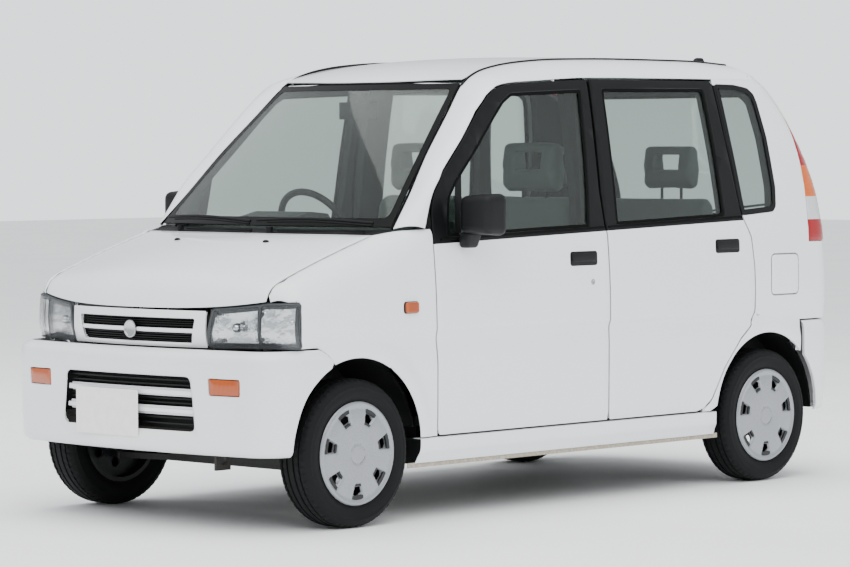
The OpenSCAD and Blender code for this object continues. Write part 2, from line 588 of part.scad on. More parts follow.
module screen_grid_wall(s, t) {
    zs = [1048, 1150, 1300, 1450, 1565];
    f = [-1, -0.75, -0.4, 0, 0.4, 0.75, 1];
    function g(d) = [for (z = zs) [for (k = f) let (x = k * (screen_half(z) - 4))
        at([x, screen_y(x, z) + d, z])]];
    wall(moved(g(0), [0, s + t, 0]), moved(g(0), [0, s, 0]));
}
module windscreen() color("#8fa8a0", 0.4) screen_grid_wall(2, glass);

module roof() {
    ys = [-432, -405, -360, -300, -200, -90, 60, 300, 600, 900, 1060, 1150, 1210];
    f = [-1, -0.66, -0.33, 0, 0.33, 0.66, 1];
    function g(d) = [for (y = ys) [for (k = f) let (x = k * (strip_x(y) - 2), yf = y == -432
        ? -434 + 54 * pow(x / 471, 2) : min(max(y, -430 + 54 * pow(x / 471, 2)), 1198 - 9e-5 * x * x))
        at([x, yf, roof_z(x, yf)]) - [0, 0, d]]];
    color("white") {
        wall(g(roof_wall), g(0));
    }
}

// Windscreen pillar and roof rail: between the inner and the outer edge, at station k
RAIL_IN = [[614, -903, 1048], [583, -787, 1160], [545, -660, 1300], [504, -505, 1450], [474, -395, 1556],
    [466, -330, 1594], [461, -260, 1617], [460, -100, 1646], [464, 150, 1664], [468, 500, 1668],
    [472, 900, 1667], [475, 1149, 1653]];
RAIL_OUT = [[684, -812, 1046], [670, -760, 1160], [650, -640, 1290], [629, -505, 1428], [616, -420, 1508],
    [610, -350, 1556], [607, -270, 1569], [603, -105, 1578], [601, 150, 1590], [600, 500, 1592],
    [600, 900, 1592], [599, 1149, 1590]];
module side_rail() {
    function row(k, d) = let (a = RAIL_IN[k], b = RAIL_OUT[k])
        [for (f = [0, 0.3, 0.6, 0.85, 1]) at(a + f * (b - a) + [14, -4, 10] * 4 * f * (1 - f))
            - d * unit([1, -0.35, 0.9])];
    wall([for (k = [0:len(RAIL_IN) - 1]) row(k, panel_wall)], [for (k = [0:len(RAIL_IN) - 1]) row(k, 0)]);
}
pillar_in = 88;     // from the skin to the middle pillar's outer face
module side_frames() color("white") both_sides() {
    difference() {
        side_rail();
        for (d = [FRONT_DOOR, REAR_DOOR]) through_x(300, 800) polygon(inset(outline(d), -shut_gap));
        through_x(300, 800) polygon(outline([[140, 1400], [190, 1400], [190, 1590], [140, 1580]]));
        // wing, quarter panel and roof
        through_x(300, 800) polygon(outline([[-1000, 900], [-700, 900], [-700, 1040], [-812, 1040],
            [-872, 1035], [-909, 1048], [-1000, 1048]]));
        through_x(300, 800) polygon(outline([[870, 1500], [1300, 1500], [1300, 1700], [1149, 1700], [1149, 1595],
            [870, 1595]]));
        translate([0, 0, sz(1500)]) linear_extrude(400) polygon([for (p = concat([for (y = [-430, -400, -300,
            -100, 600, 1240]) [strip_x(y) - 0.2, y]], [[0, 1240], [0, -430]])) [sx(p[0]), sy(p[1])]]);
    }
    // middle pillar, with its head under the rail
    side_wall([112, 238], [331, 690, 1000, 1160, 1300, 1450, 1592], 34, pillar_in);
    block([sx(500), sy(112), sz(1592)], [sx(560), sy(238), sz(1604)]);
}

// Rear quarter: the side behind the rear door, the corner and the strip beside the back door
gate_x = 560;
QUARTER_Z = [296, 440, 600, 645, 672, 690, 800, 941, 1030, 1160, 1300, 1450, 1570, 1600, 1625, 1640];
function quarter_row(z, d) =
    let (c = rear_corner_point(z, 0), r = rear_corner, x1 = c[0] - r, y1 = c[1])
    concat([for (k = [0:3]) let (y = 740 + (y1 - 740) * k / 4) [side_x(y, z) - d, y, z]],
        [for (a = [0, 22.5, 45, 67.5, 90]) [x1 + (r - d) * cos(a), y1 + (r - d) * sin(a), z]],
        [let (x = min(gate_x - 60, x1 - 12)) [x, rear_y(x, z) - d, z]]);
module quarter_wall(s, t) wall(grid_at([for (z = QUARTER_Z) quarter_row(z, s + t)]),
    grid_at([for (z = QUARTER_Z) quarter_row(z, s)]));
module quarter_side() difference() {
    quarter_wall(0, panel_wall);
    arch(false, arch_radius);
    side_outline(REAR_DOOR, -shut_gap);
    through_x(300, 800) polygon(outline([[500, 1500], [880, 1500], [894, 1594], [1150, 1594], [1150, 1700],
        [500, 1700]]));
    through_x(300, 800) polygon(outline([[1364, 200], [1700, 200], [1700, 634], [1364, 634]]));
    side_outline(QUARTER_HOLE);
    side_outline(LAMP, -seam);
    back_outline(BACK_DOOR, -shut_gap);
    block([0, sy(1000), sz(1594)], [sx(481), sy(1400), sz(1700)]);
    // room for the back door's lower corner as it swings
    block([0, sy(1500), 0], [sx(546), sy(1640), sz(658)]);
}
module quarter_panels() color("white") {
    difference() {
        quarter_side();
        // recess of the fuel flap, on the left side only
        through_x(half_w - 19, 800) polygon(inset(outline(FLAP), -shut_gap));
    }
    mirror([1, 0, 0]) quarter_side();
    // filler cap in the recess
    translate([0, sy(1262), sz(818)]) rod(half_w - 22, half_w - 14, 27);
}
module square_between(a, b) translate(a) square(b - a);
module quarter_glass() color("#8fa8a0", 0.4) both_sides() intersection() {
    quarter_wall(4, glass);
    side_outline(QUARTER_HOLE, seam);
}
module rear_lamps() color("#b3202c") both_sides() intersection() {
    quarter_wall(0, panel_wall + 20);
    side_outline(LAMP);
    difference() {
        block([sx(480), 0, 0], [800, 2000, 2000]);
        back_outline(BACK_DOOR, -shut_gap);
    }
}

// ---- cabin ----

wheel_mid = [-330, sy(-348), sz(1000)];
module on_column() translate(wheel_mid) rotate([column_angle - 90, 0, 0]) children();
module dashboard() color("#3d4442") {
    difference() {
        union() {
            through_x(-sx(600), sx(600)) polygon(outline([[-800, 700], [-560, 700], [-500, 760], [-470, 900],
                [-480, 1000], [-520, 1050], [-600, 1062], [-760, 1040], [-870, 1010], [-870, 900]]));
            through_x(-sx(470), -sx(170)) polygon(outline([[-600, 1000], [-430, 1000], [-420, 1040],
                [-450, 1078], [-540, 1086], [-700, 1050]]));
        }
        on_column() translate([0, 0, 20]) mirror([0, 0, 1]) cylinder(h = 180, r = 40);
    }
    // column shroud, bored for the shaft
    on_column() translate([0, 0, -240]) difference() {
        cylinder(h = 190, r = 38);
        translate([0, 0, 80]) cylinder(h = 200, r = 10 + running);
    }
}
module steering_wheel() color("#2b2f30") on_column() {
    grip = 14;
    rotate_extrude() translate([steering_radius, 0]) circle(r = grip);
    translate([0, 0, -30]) cylinder(h = 40, r = 52);
    translate([0, 0, -150]) cylinder(h = 130, r = 10);
    for (a = [15, 165, 270]) rotate([0, 0, a]) translate([45, -16, -12]) cube([steering_radius - 50, 32, 14]);
}
module front_seat() {
    w = seat_width;
    block([-w / 2 + 60, sy(-330), 236], [w / 2 - 60, sy(20), sz(440)]);
    through_x(-w / 2, w / 2) polygon(outline([[-430, 470], [-410, 446], [60, 441], [90, 470], [90, 560],
        [40, 585], [-300, 612], [-400, 600], [-432, 560]]));
    through_x(-w / 2 + 10, w / 2 - 10) polygon(outline([[92, 500], [180, 500], [205, 560], [262, 1000],
        [262, 1090], [230, 1128], [180, 1130], [150, 1090], [60, 640], [60, 586]]));
    difference() {
        through_x(-140, 140) polygon(outline([[150, 1175], [185, 1150], [225, 1160], [240, 1240], [226, 1330],
            [196, 1354], [160, 1344], [142, 1260]]));
        through_y(sy(100), sy(300)) square_between([-70, sz(1246)], [70, sz(1310)]);
    }
    for (x = [-60, 60]) translate([x, sy(200), sz(1120)]) cylinder(h = sz(1175) - sz(1120), r = 6);
}
module front_seats() color("#69706e") for (x = [-seat_offset, seat_offset]) translate([x, 0, 0]) front_seat();
module rear_seat() color("#69706e") {
    block([-sx(480), sy(560), sz(411)], [sx(480), sy(880), sz(440)]);
    through_x(-sx(478), sx(478)) polygon(outline([[520, 460], [545, 441], [960, 441], [960, 560],
        [600, 590], [530, 570]]));
    through_x(-sx(475), sx(475)) polygon(outline([[962, 480], [1020, 480], [1050, 560], [1110, 1000],
        [1105, 1080], [1070, 1110], [1030, 1100], [1010, 1060], [930, 620], [930, 572]]));
    for (x = [-1, 1]) translate([x * 270, 0, 0]) {
        difference() {
            through_x(-130, 130) polygon(outline([[1020, 1170], [1050, 1150], [1085, 1160], [1098, 1230],
                [1085, 1316], [1060, 1338], [1028, 1328], [1014, 1250]]));
            through_y(sy(980), sy(1140)) square_between([-62, sz(1236)], [62, sz(1296)]);
        }
        for (k = [-50, 50]) translate([k, sy(1062), sz(1100)]) cylinder(h = sz(1160) - sz(1100), r = 6);
    }
}
module interior_mirror() color("#22282a") {
    block([-sx(100), sy(-456), sz(1434)], [sx(100), sy(-436), sz(1498)]);
    block([-9, sy(-452), sz(1498) - 2], [9, sy(-438), sz(1530) + 2]);
    block([-9, sy(-452), sz(1530)], [9, sy(-400), sz(1544)]);
}

// ---- moving panels ----

module bonnet() {
    us = [0, 0.015, 0.04, 0.08, 0.14, 0.25, 0.4, 0.6, 0.8, 1];
    xs = bonnet_side * [-1, -0.8, -0.55, -0.3, 0, 0.3, 0.55, 0.8, 1];
    function g(d) = [for (u = us) [for (x = xs) let (lip = exp(-u / 0.04)) at(bonnet_point(x, u)) + [0, 0.9 * d * lip, -d * (1 - lip)]]];
    color("white") {
        wall(g(bonnet_wall), g(0));
    }
}

module door(pts, window, ys) {
    difference() {
        union() {
            intersection() {
                side_wall(ys, SIDE_Z, flange_depth);
                side_outline(pts);
            }
            intersection() {
                side_wall(ys, SIDE_Z, door_depth - flange_depth + 3, flange_depth - 3);
                side_outline(pts, flange_width);
            }
        }
        side_outline(window);
    }
}
FRONT_Y = [-800, -600, -200, 220];
REAR_Y = [120, 500, 800, 1080];
module front_door_left() color("white") door(FRONT_DOOR, FRONT_WINDOW, FRONT_Y);
module front_door_right() color("white") mirror([1, 0, 0]) door(FRONT_DOOR, FRONT_WINDOW, FRONT_Y);
module rear_door_left() color("white") door(REAR_DOOR, REAR_WINDOW, REAR_Y);
module rear_door_right() color("white") mirror([1, 0, 0]) door(REAR_DOOR, REAR_WINDOW, REAR_Y);
module door_glass(window, ys) color("#8fa8a0", 0.4) intersection() {
    side_wall(ys, [990, 1030, 1160, 1300, 1450, 1600], glass, 8);
    side_outline(window, seam);
}
module front_glass_left() door_glass(FRONT_WINDOW, FRONT_Y);
module front_glass_right() mirror([1, 0, 0]) door_glass(FRONT_WINDOW, FRONT_Y);
module rear_glass_left() door_glass(REAR_WINDOW, REAR_Y);
module rear_glass_right() mirror([1, 0, 0]) door_glass(REAR_WINDOW, REAR_Y);

module door_mirror() color("#222326") {
    y = sy(-620);
    z = sz(1087);
    translate([half_w + 92, y, z]) through_x(-80, 80)
        polygon([[-42, -68], [-30, -75], [34, -75], [42, -68], [42, 62], [30, 75], [-20, 75], [-38, 55]]);
    block([half_w + 2, y - 40, sz(970)], [half_w + 60, y + 34, z - 73]);
}
module door_mirror_left() door_mirror();
module door_mirror_right() mirror([1, 0, 0]) door_mirror();

// Back door, hinged on the car's right side
BACK_DOOR = [[-560, 690], [-510, 636], [510, 636], [560, 690], [560, 1000], [553, 1400], [542, 1560],
    [470, 1634], [-470, 1634], [-542, 1560], [-553, 1400], [-560, 1000]];
BACK_WINDOW = [[-470, 1040], [-450, 1020], [450, 1020], [470, 1040], [462, 1400], [440, 1530], [415, 1556],
    [-415, 1556], [-440, 1530], [-462, 1400]];
function stretched(pts) = [for (p = pts) [sx(p[0]), sz(p[1])]];
module back_wall(s, t) {
    zs = [620, 941, 1125, 1245, 1326, 1418, 1497, 1580, 1648];
    xs = [-570, -400, -200, 0, 200, 400, 570];
    function g(d) = [for (z = zs) [for (x = xs) at([x, rear_y(x, z), z]) - [0, d, 0]]];
    wall(g(s), g(s + t));
}
module back_outline(pts, d) through_y(sy(1000), sy(1700)) polygon(inset(stretched(pts), d));
module back_door() color("white") difference() {
    union() {
        intersection() {
            back_wall(0, flange_depth);
            back_outline(BACK_DOOR, 0);
        }
        intersection() {
            back_wall(flange_depth - 3, door_depth - flange_depth + 3);
            back_outline(BACK_DOOR, flange_width + 10);
        }
    }
    back_outline(BACK_WINDOW, 0);
}
module back_door_glass() color("#8fa8a0", 0.4) intersection() {
    back_wall(3, glass);
    back_outline(BACK_WINDOW, seam);
}

module fuel_flap() color("white") intersection() {
    side_wall([1150, 1260, 1370], [720, 800, 900, 920], 5);
    side_outline(FLAP);
}

floor_pan();
wheel_housings();
front_suspension();
rear_axle();
engine();
radiator();
exhaust();
fuel_tank();
grille();
front_lamps();
front_bumper();
number_plates();
wings();
sills();
cowl();
windscreen();
roof();
side_frames();
quarter_panels();
quarter_glass();
rear_lamps();
rear_bumper();
dashboard();
front_seats();
rear_seat();
interior_mirror();
bonnet();
steering_wheel();
knuckle_left();
knuckle_right();
front_tyre_left();
front_tyre_right();
rear_tyre_left();
rear_tyre_right();
front_wheel_left();
front_wheel_right();
rear_wheel_left();
rear_wheel_right();
front_door_left();
front_door_right();
rear_door_left();
rear_door_right();
front_glass_left();
front_glass_right();
rear_glass_left();
rear_glass_right();
door_mirror_left();
door_mirror_right();
back_door();
back_door_glass();
fuel_flap();
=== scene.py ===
# Small white four-door kei car: pressed steel panels, glass, moulded trim, wheels and cabin, built on its frame.
# Lengths in a section are millimetres unless a name ends in _m. The front faces -Y and the car's left side is +X.
import math
import bmesh
import bpy
from mathutils import Matrix, Vector


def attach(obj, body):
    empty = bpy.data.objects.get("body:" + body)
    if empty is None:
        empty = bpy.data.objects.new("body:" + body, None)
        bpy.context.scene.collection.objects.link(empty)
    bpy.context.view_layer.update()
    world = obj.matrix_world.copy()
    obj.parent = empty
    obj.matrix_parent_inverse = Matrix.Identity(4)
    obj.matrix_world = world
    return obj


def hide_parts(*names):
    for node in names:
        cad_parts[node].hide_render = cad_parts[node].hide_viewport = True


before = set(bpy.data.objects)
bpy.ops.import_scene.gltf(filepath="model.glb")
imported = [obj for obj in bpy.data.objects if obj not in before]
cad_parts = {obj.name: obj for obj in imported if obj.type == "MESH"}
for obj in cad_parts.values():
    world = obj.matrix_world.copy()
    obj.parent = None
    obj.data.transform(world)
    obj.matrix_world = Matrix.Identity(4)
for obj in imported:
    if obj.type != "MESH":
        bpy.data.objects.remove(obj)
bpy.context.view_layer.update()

# ---- Camera, floor and light ----
# A pale flat studio floor, four large soft lamps, a broad sun from above and an even sky.
cam_data = bpy.data.cameras.new("camera")
cam_data.sensor_width = 36.0
cam_data.lens = 148.06
cam_data.clip_end = 200
cam = bpy.data.objects.new("camera", cam_data)
bpy.context.scene.collection.objects.link(cam)
cam.location = (9.2689, -9.8058, 1.3497)
yaw, pitch, roll = math.radians(-43.67), math.radians(-2.32), math.radians(0.22)
look = Vector((math.sin(yaw) * math.cos(pitch), math.cos(yaw) * math.cos(pitch), math.sin(pitch)))
turn = look.to_track_quat("-Z", "Y").to_matrix().to_4x4()
cam.matrix_world = Matrix.Translation(cam.location) @ turn @ Matrix.Rotation(-roll, 4, "Z")
bpy.context.scene.camera = cam


def linear(hex_colour):
    """sRGB hex to the linear values that a shader takes."""
    out = []
    for i in (0, 2, 4):
        c = int(hex_colour[i:i + 2], 16) / 255
        out.append(c / 12.92 if c <= 0.04045 else ((c + 0.055) / 1.055) ** 2.4)
    return out + [1.0]


def node(mat, kind, links=(), **settings):
    """Adds one node; settings name its inputs or properties, links are (input, node, output)."""
    n = mat.node_tree.nodes.new(kind)
    for key, value in settings.items():
        if key in n.inputs:
            n.inputs[key].default_value = value
        elif key.replace("_", " ") in n.inputs:
            n.inputs[key.replace("_", " ")].default_value = value
        else:
            setattr(n, key, value)
    for socket, other, output in links:
        mat.node_tree.links.new(other.outputs[output], n.inputs[socket])
    return n


def material(name, colour, roughness, metallic=0.0, **more):
    """A principled material with a base colour and values on the shader's own sockets."""
    mat = bpy.data.materials.new(name)
    mat.use_nodes = True
    shader = mat.node_tree.nodes["Principled BSDF"]
    shader.inputs["Base Color"].default_value = linear(colour)
    shader.inputs["Roughness"].default_value = roughness
    shader.inputs["Metallic"].default_value = metallic
    for key, value in more.items():
        shader.inputs[key.replace("_", " ")].default_value = value
    return mat, shader


def grained(mat, shader, size_mm, depth, colours=None, distance=0.0004, rough=None):
    """Moulded grain or cloth-like mottling of a real size, on Object coordinates."""
    place = node(mat, "ShaderNodeTexCoord")
    noise = node(mat, "ShaderNodeTexNoise", [("Vector", place, "Object")], Scale=1000.0 / size_mm, Detail=3.0)
    bump = node(mat, "ShaderNodeBump", [("Height", noise, "Fac")], Strength=depth, Distance=distance)
    mat.node_tree.links.new(bump.outputs["Normal"], shader.inputs["Normal"])
    if colours:
        ramp = node(mat, "ShaderNodeValToRGB", [("Fac", noise, "Fac")])
        ramp.color_ramp.elements[0].position, ramp.color_ramp.elements[1].position = 0.35, 0.65
        ramp.color_ramp.elements[0].color, ramp.color_ramp.elements[1].color = map(linear, colours)
        mat.node_tree.links.new(ramp.outputs["Color"], shader.inputs["Base Color"])
    if rough:
        span = node(mat, "ShaderNodeMapRange", [("Value", noise, "Fac")])
        span.inputs["To Min"].default_value, span.inputs["To Max"].default_value = rough
        mat.node_tree.links.new(span.outputs["Result"], shader.inputs["Roughness"])
    return noise


# Studio floor: matt painted board, pale grey
floor_paint, s = material("studio_floor_paint", "f7f8f9", 0.62)
grained(floor_paint, s, 900, 0.02, ("f5f6f7", "f9fafa"))
bpy.ops.object.select_all(action="DESELECT")
bpy.ops.mesh.primitive_plane_add(size=60, location=(-8, 8, 0))
floor = bpy.context.object
floor.name = "studio_floor"
floor.data.materials.append(floor_paint)
world = bpy.data.worlds.new("studio_sky")
bpy.context.scene.world = world
world.use_nodes = True
sky = world.node_tree.nodes["Background"]
sky.inputs["Color"].default_value = linear("f4f7fa")
# what is seen straight or through glass is brighter than what lights the car, so the backdrop stays near white
path = world.node_tree.nodes.new("ShaderNodeLightPath")
lit = world.node_tree.nodes.new("ShaderNodeMath")
lit.operation = "MAXIMUM"
power_of = world.node_tree.nodes.new("ShaderNodeMapRange")
power_of.inputs["To Min"].default_value, power_of.inputs["To Max"].default_value = 1.9, 0.9
world.node_tree.links.new(path.outputs["Is Diffuse Ray"], lit.inputs[0])
world.node_tree.links.new(path.outputs["Is Glossy Ray"], lit.inputs[1])
world.node_tree.links.new(lit.outputs[0], power_of.inputs["Value"])
world.node_tree.links.new(power_of.outputs["Result"], sky.inputs["Strength"])
for name, spot, aim, size, power in (("key", (6.5, -7.5, 7.5), (0, 0, 0.6), 7, 520), ("side", (9, 3, 4.5), (0, 0,
    0.7), 6, 260),
        ("top", (-1, 1, 8), (0, 0, 0), 8, 500), ("back", (-8, -4, 5), (0, 0, 0.8), 5, 200)):
    lamp = bpy.data.lights.new("studio_" + name, "AREA")
    lamp.size, lamp.energy = size, power
    holder = bpy.data.objects.new("studio_" + name, lamp)
    bpy.context.scene.collection.objects.link(holder)
    holder.location = spot
    holder.visible_glossy = False
    holder.rotation_euler = (Vector(aim) - Vector(spot)).to_track_quat("-Z", "Y").to_euler()

daylight = bpy.data.lights.new("studio_ceiling", "SUN")
daylight.energy, daylight.angle = 1.7, math.radians(70)
holder = bpy.data.objects.new("studio_ceiling", daylight)
bpy.context.scene.collection.objects.link(holder)
holder.rotation_euler = Vector((-0.25, 0.35, -1)).to_track_quat("-Z", "Y").to_euler()

# ---- Materials of the body ----
# Body colour is a baked white enamel under clear lacquer: bright, hardly orange-peeled, with a cool shade.
white, s = material("white_enamel_lacquered", "eff1f3", 0.34, Coat_Weight=0.9, Coat_Roughness=0.06)
place = node(white, "ShaderNodeTexCoord")
peel = node(white, "ShaderNodeTexNoise", [("Vector", place, "Object")], Scale=260.0, Detail=2.0)
bump = node(white, "ShaderNodeBump", [("Height", peel, "Fac")], Strength=0.03, Distance=0.0002)
white.node_tree.links.new(bump.outputs["Normal"], s.inputs["Coat Normal"])
dust = node(white, "ShaderNodeTexNoise", [("Vector", place, "Object")], Scale=2.6, Detail=4.0)
ramp = node(white, "ShaderNodeValToRGB", [("Fac", dust, "Fac")])
ramp.color_ramp.elements[0].color, ramp.color_ramp.elements[1].color = linear("ebeef1"), linear("f2f4f6")
white.node_tree.links.new(ramp.outputs["Color"], s.inputs["Base Color"])
# Black satin paint of the window frames and drip strips: even and slightly soft
frame_black, s = material("satin_black_paint", "0a0b0c", 0.4, Specular_IOR_Level=0.25)
grained(frame_black, s, 1.2, 0.08, ("08090a", "0c0d0e"))
# Seals are extruded black rubber: matt, darker than the paint
seal_rubber, s = material("extruded_rubber_seal", "060707", 0.8, Specular_IOR_Level=0.15)
grained(seal_rubber, s, 2.0, 0.15, ("050606", "080909"))
# Moulded black polypropylene of mirrors, handles, cowl and liners: fine leather grain
black_plastic, s = material("grained_black_polypropylene", "0e0f10", 0.5, Specular_IOR_Level=0.3)
grained(black_plastic, s, 1.4, 0.25, ("0c0d0e", "111213"), rough=(0.45, 0.6))
# Window glass, float glass with a faint green body
glass, s = material("float_glass_green_tint", "dfeae5", 0.02, Transmission_Weight=1.0, IOR=1.45,
    Specular_IOR_Level=0.55)
grained(glass, s, 420, 0.004)
# Fired black ceramic round the windscreen
ceramic, s = material("black_ceramic_band", "060708", 0.3, Specular_IOR_Level=0.2)
grained(ceramic, s, 3, 0.02, ("050606", "080909"))
# Underbody: stone-chip coating over grey primer
underseal, s = material("grey_underbody_coating", "3a3936", 0.8)
grained(underseal, s, 5, 0.5, ("32312e", "43413d"), distance=0.001)
steel_black, s = material("chassis_black_steel", "1c1d1f", 0.55)
grained(steel_black, s, 6, 0.4, ("17181a", "26241f"), distance=0.0006)
steel_bare, s = material("aluminised_steel", "8a857d", 0.42, 0.9)
grained(steel_bare, s, 12, 0.2, ("7a756c", "98948c"), rough=(0.35, 0.55))
trim_grey, s = material("moulded_trim_grey_green", "353b39", 0.65, Specular_IOR_Level=0.3)
grained(trim_grey, s, 2.5, 0.12, ("323836", "383f3d"))


def carried(names, mat):
    """A CAD node keeps its shape and takes this material."""
    for n in names:
        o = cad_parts[n]
        for m in range(len(o.material_slots)):
            o.material_slots[m].material = mat
        if not o.material_slots:
            o.data.materials.append(mat)


carried(["floor_pan", "fuel_tank"], underseal)
carried(["engine", "radiator"], steel_black)
carried(["front_suspension", "rear_axle", "knuckle_left", "knuckle_right"], steel_black)
carried(["exhaust"], steel_bare)
carried(["wheel_housings", "cowl", "interior_mirror"], black_plastic)
carried(["dashboard"], trim_grey)

# ---- Body side: quarter of the car's shape ----
# The pressed sides lean in above the belt line, carry a crease low down and swell a little round the wheels.


def curve_of(rows):
    """Smooth line through a table of (value, size) rows, without overshoot."""
    xs, ys = [r[0] for r in rows], [r[1] for r in rows]
    h = [xs[i + 1] - xs[i] for i in range(len(xs) - 1)]
    d = [(ys[i + 1] - ys[i]) / h[i] for i in range(len(h))]
    m = [d[0]]
    for i in range(1, len(h)):
        m.append(0 if d[i - 1] * d[i] <= 0 else 3 * (h[i - 1] + h[i]) / ((2 * h[i] + h[i - 1]) / d[i - 1]
            + (h[i] + 2 * h[i - 1]) / d[i]))
    m.append(d[-1])

    def at(x):
        if x <= xs[0]:
            return ys[0]
        if x >= xs[-1]:
            return ys[-1]
        i = 0
        while x > xs[i + 1]:
            i += 1
        t = (x - xs[i]) / h[i]
        return (ys[i] * (1 + 2 * t) * (1 - t) ** 2 + h[i] * m[i] * t * (1 - t) ** 2
            + ys[i + 1] * t * t * (3 - 2 * t) + h[i] * m[i + 1] * t * t * (t - 1))
    return at


section_x = curve_of([(190, 655), (250, 670), (305, 684), (440, 688), (600, 690), (645, 688.5), (660, 690), (676,
    696.5), (690, 697.5), (800, 697.5), (900, 695), (1000, 690), (1030, 685), (1160, 670), (1300, 652), (1450, 628),
    (1570, 605), (1600, 596), (1625, 576), (1645, 545)])
roof_mid = curve_of([(-440, 1571), (-405, 1589), (-360, 1606), (-300, 1623), (-200, 1643), (-90, 1658), (60, 1670),
    (300, 1678), (600, 1680), (900, 1678), (1060, 1672), (1150, 1662), (1200, 1648), (1240, 1624)])
rear_mid = curve_of([(190, 1612), (640, 1620), (941, 1614), (1125, 1590), (1245, 1545), (1326, 1502), (1418, 1444),
    (1497, 1384), (1580, 1300), (1648, 1200)])
FRONT_HUB, REAR_HUB, HUB_Z, TYRE_X = -1160.5, 1139.5, 262, 617
FRONT_ARCH, REAR_ARCH, ARCH_R = (-1155.5, 278), (1149.5, 272), 318


def smooth(t):
    t = max(0.0, min(1.0, t))
    return t * t * (3 - 2 * t)


def side_x(y, z, swell=True):
    x = section_x(z) - 12 * (max(0, -y - 500) / 1000) ** 2 - 10 * (max(0, y - 900) / 600) ** 2
    if swell and z < 760:
        for c in (FRONT_ARCH, REAR_ARCH):
            r = math.hypot(y - c[0], z - c[1])
            x += 6.5 * smooth((384 - r) / 22) * smooth((700 - z) / 60) - 2.5 * smooth((327 - r) / 9)
    return x


def rounded(points, radius, steps=5):
    """Polygon with its corners turned by arcs; a point may carry its own radius as a third number."""
    out = []
    n = len(points)
    for i in range(n):
        p, a, b = (Vector(points[k % n][:2]) for k in (i, i - 1 + n, i + 1))
        r = points[i][2] if len(points[i]) > 2 else radius
        e, f = (a - p), (b - p)
        le, lf = e.length, f.length
        e, f = e / le, f / lf
        angle = math.acos(max(-1, min(1, e.dot(f))))
        if r <= 0 or angle > math.radians(172):
            out.append((p.x, p.y))
            continue
        cut = min(r / math.tan(angle / 2), 0.46 * le, 0.46 * lf)
        s0, s1 = p + e * cut, p + f * cut
        for k in range(steps + 1):
            t = k / steps
            q = s0 * (1 - t) ** 2 + p * 2 * t * (1 - t) + s1 * t * t
            out.append((q.x, q.y))
    return out


def grown(points, d):
    """Anticlockwise polygon moved outwards by d (inwards where d is negative)."""
    out = []
    n = len(points)
    for i in range(n):
        a, p, b = Vector(points[i - 1][:2]), Vector(points[i][:2]), Vector(points[(i + 1) % n][:2])
        e, f = (p - a).normalized(), (b - p).normalized()
        ne, nf = Vector((e.y, -e.x)), Vector((f.y, -f.x))
        q = p + (ne + nf) * d / max(0.3, 1 + ne.dot(nf))
        out.append((q.x, q.y) + tuple(points[i][2:]))
    return out


def inside(u, v, poly):
    hit = False
    j = len(poly) - 1
    for i in range(len(poly)):
        if (poly[i][1] > v) != (poly[j][1] > v) and u < (poly[j][0] - poly[i][0]) * (v - poly[i][1]) \
                / (poly[j][1] - poly[i][1]) + poly[i][0]:
            hit = not hit
        j = i
    return hit


def edge_distance(u, v, polys):
    best = 1e9
    for poly in polys:
        for i in range(len(poly)):
            ax, ay = poly[i - 1]
            bx, by = poly[i]
            dx, dy = bx - ax, by - ay
            t = max(0.0, min(1.0, ((u - ax) * dx + (v - ay) * dy) / max(1e-9, dx * dx + dy * dy)))
            best = min(best, (u - ax - t * dx) ** 2 + (v - ay - t * dy) ** 2)
    return math.sqrt(best)


def spread(lo, hi, step):
    n = max(1, round((hi - lo) / step))
    return [lo + (hi - lo) * i / n for i in range(n + 1)]


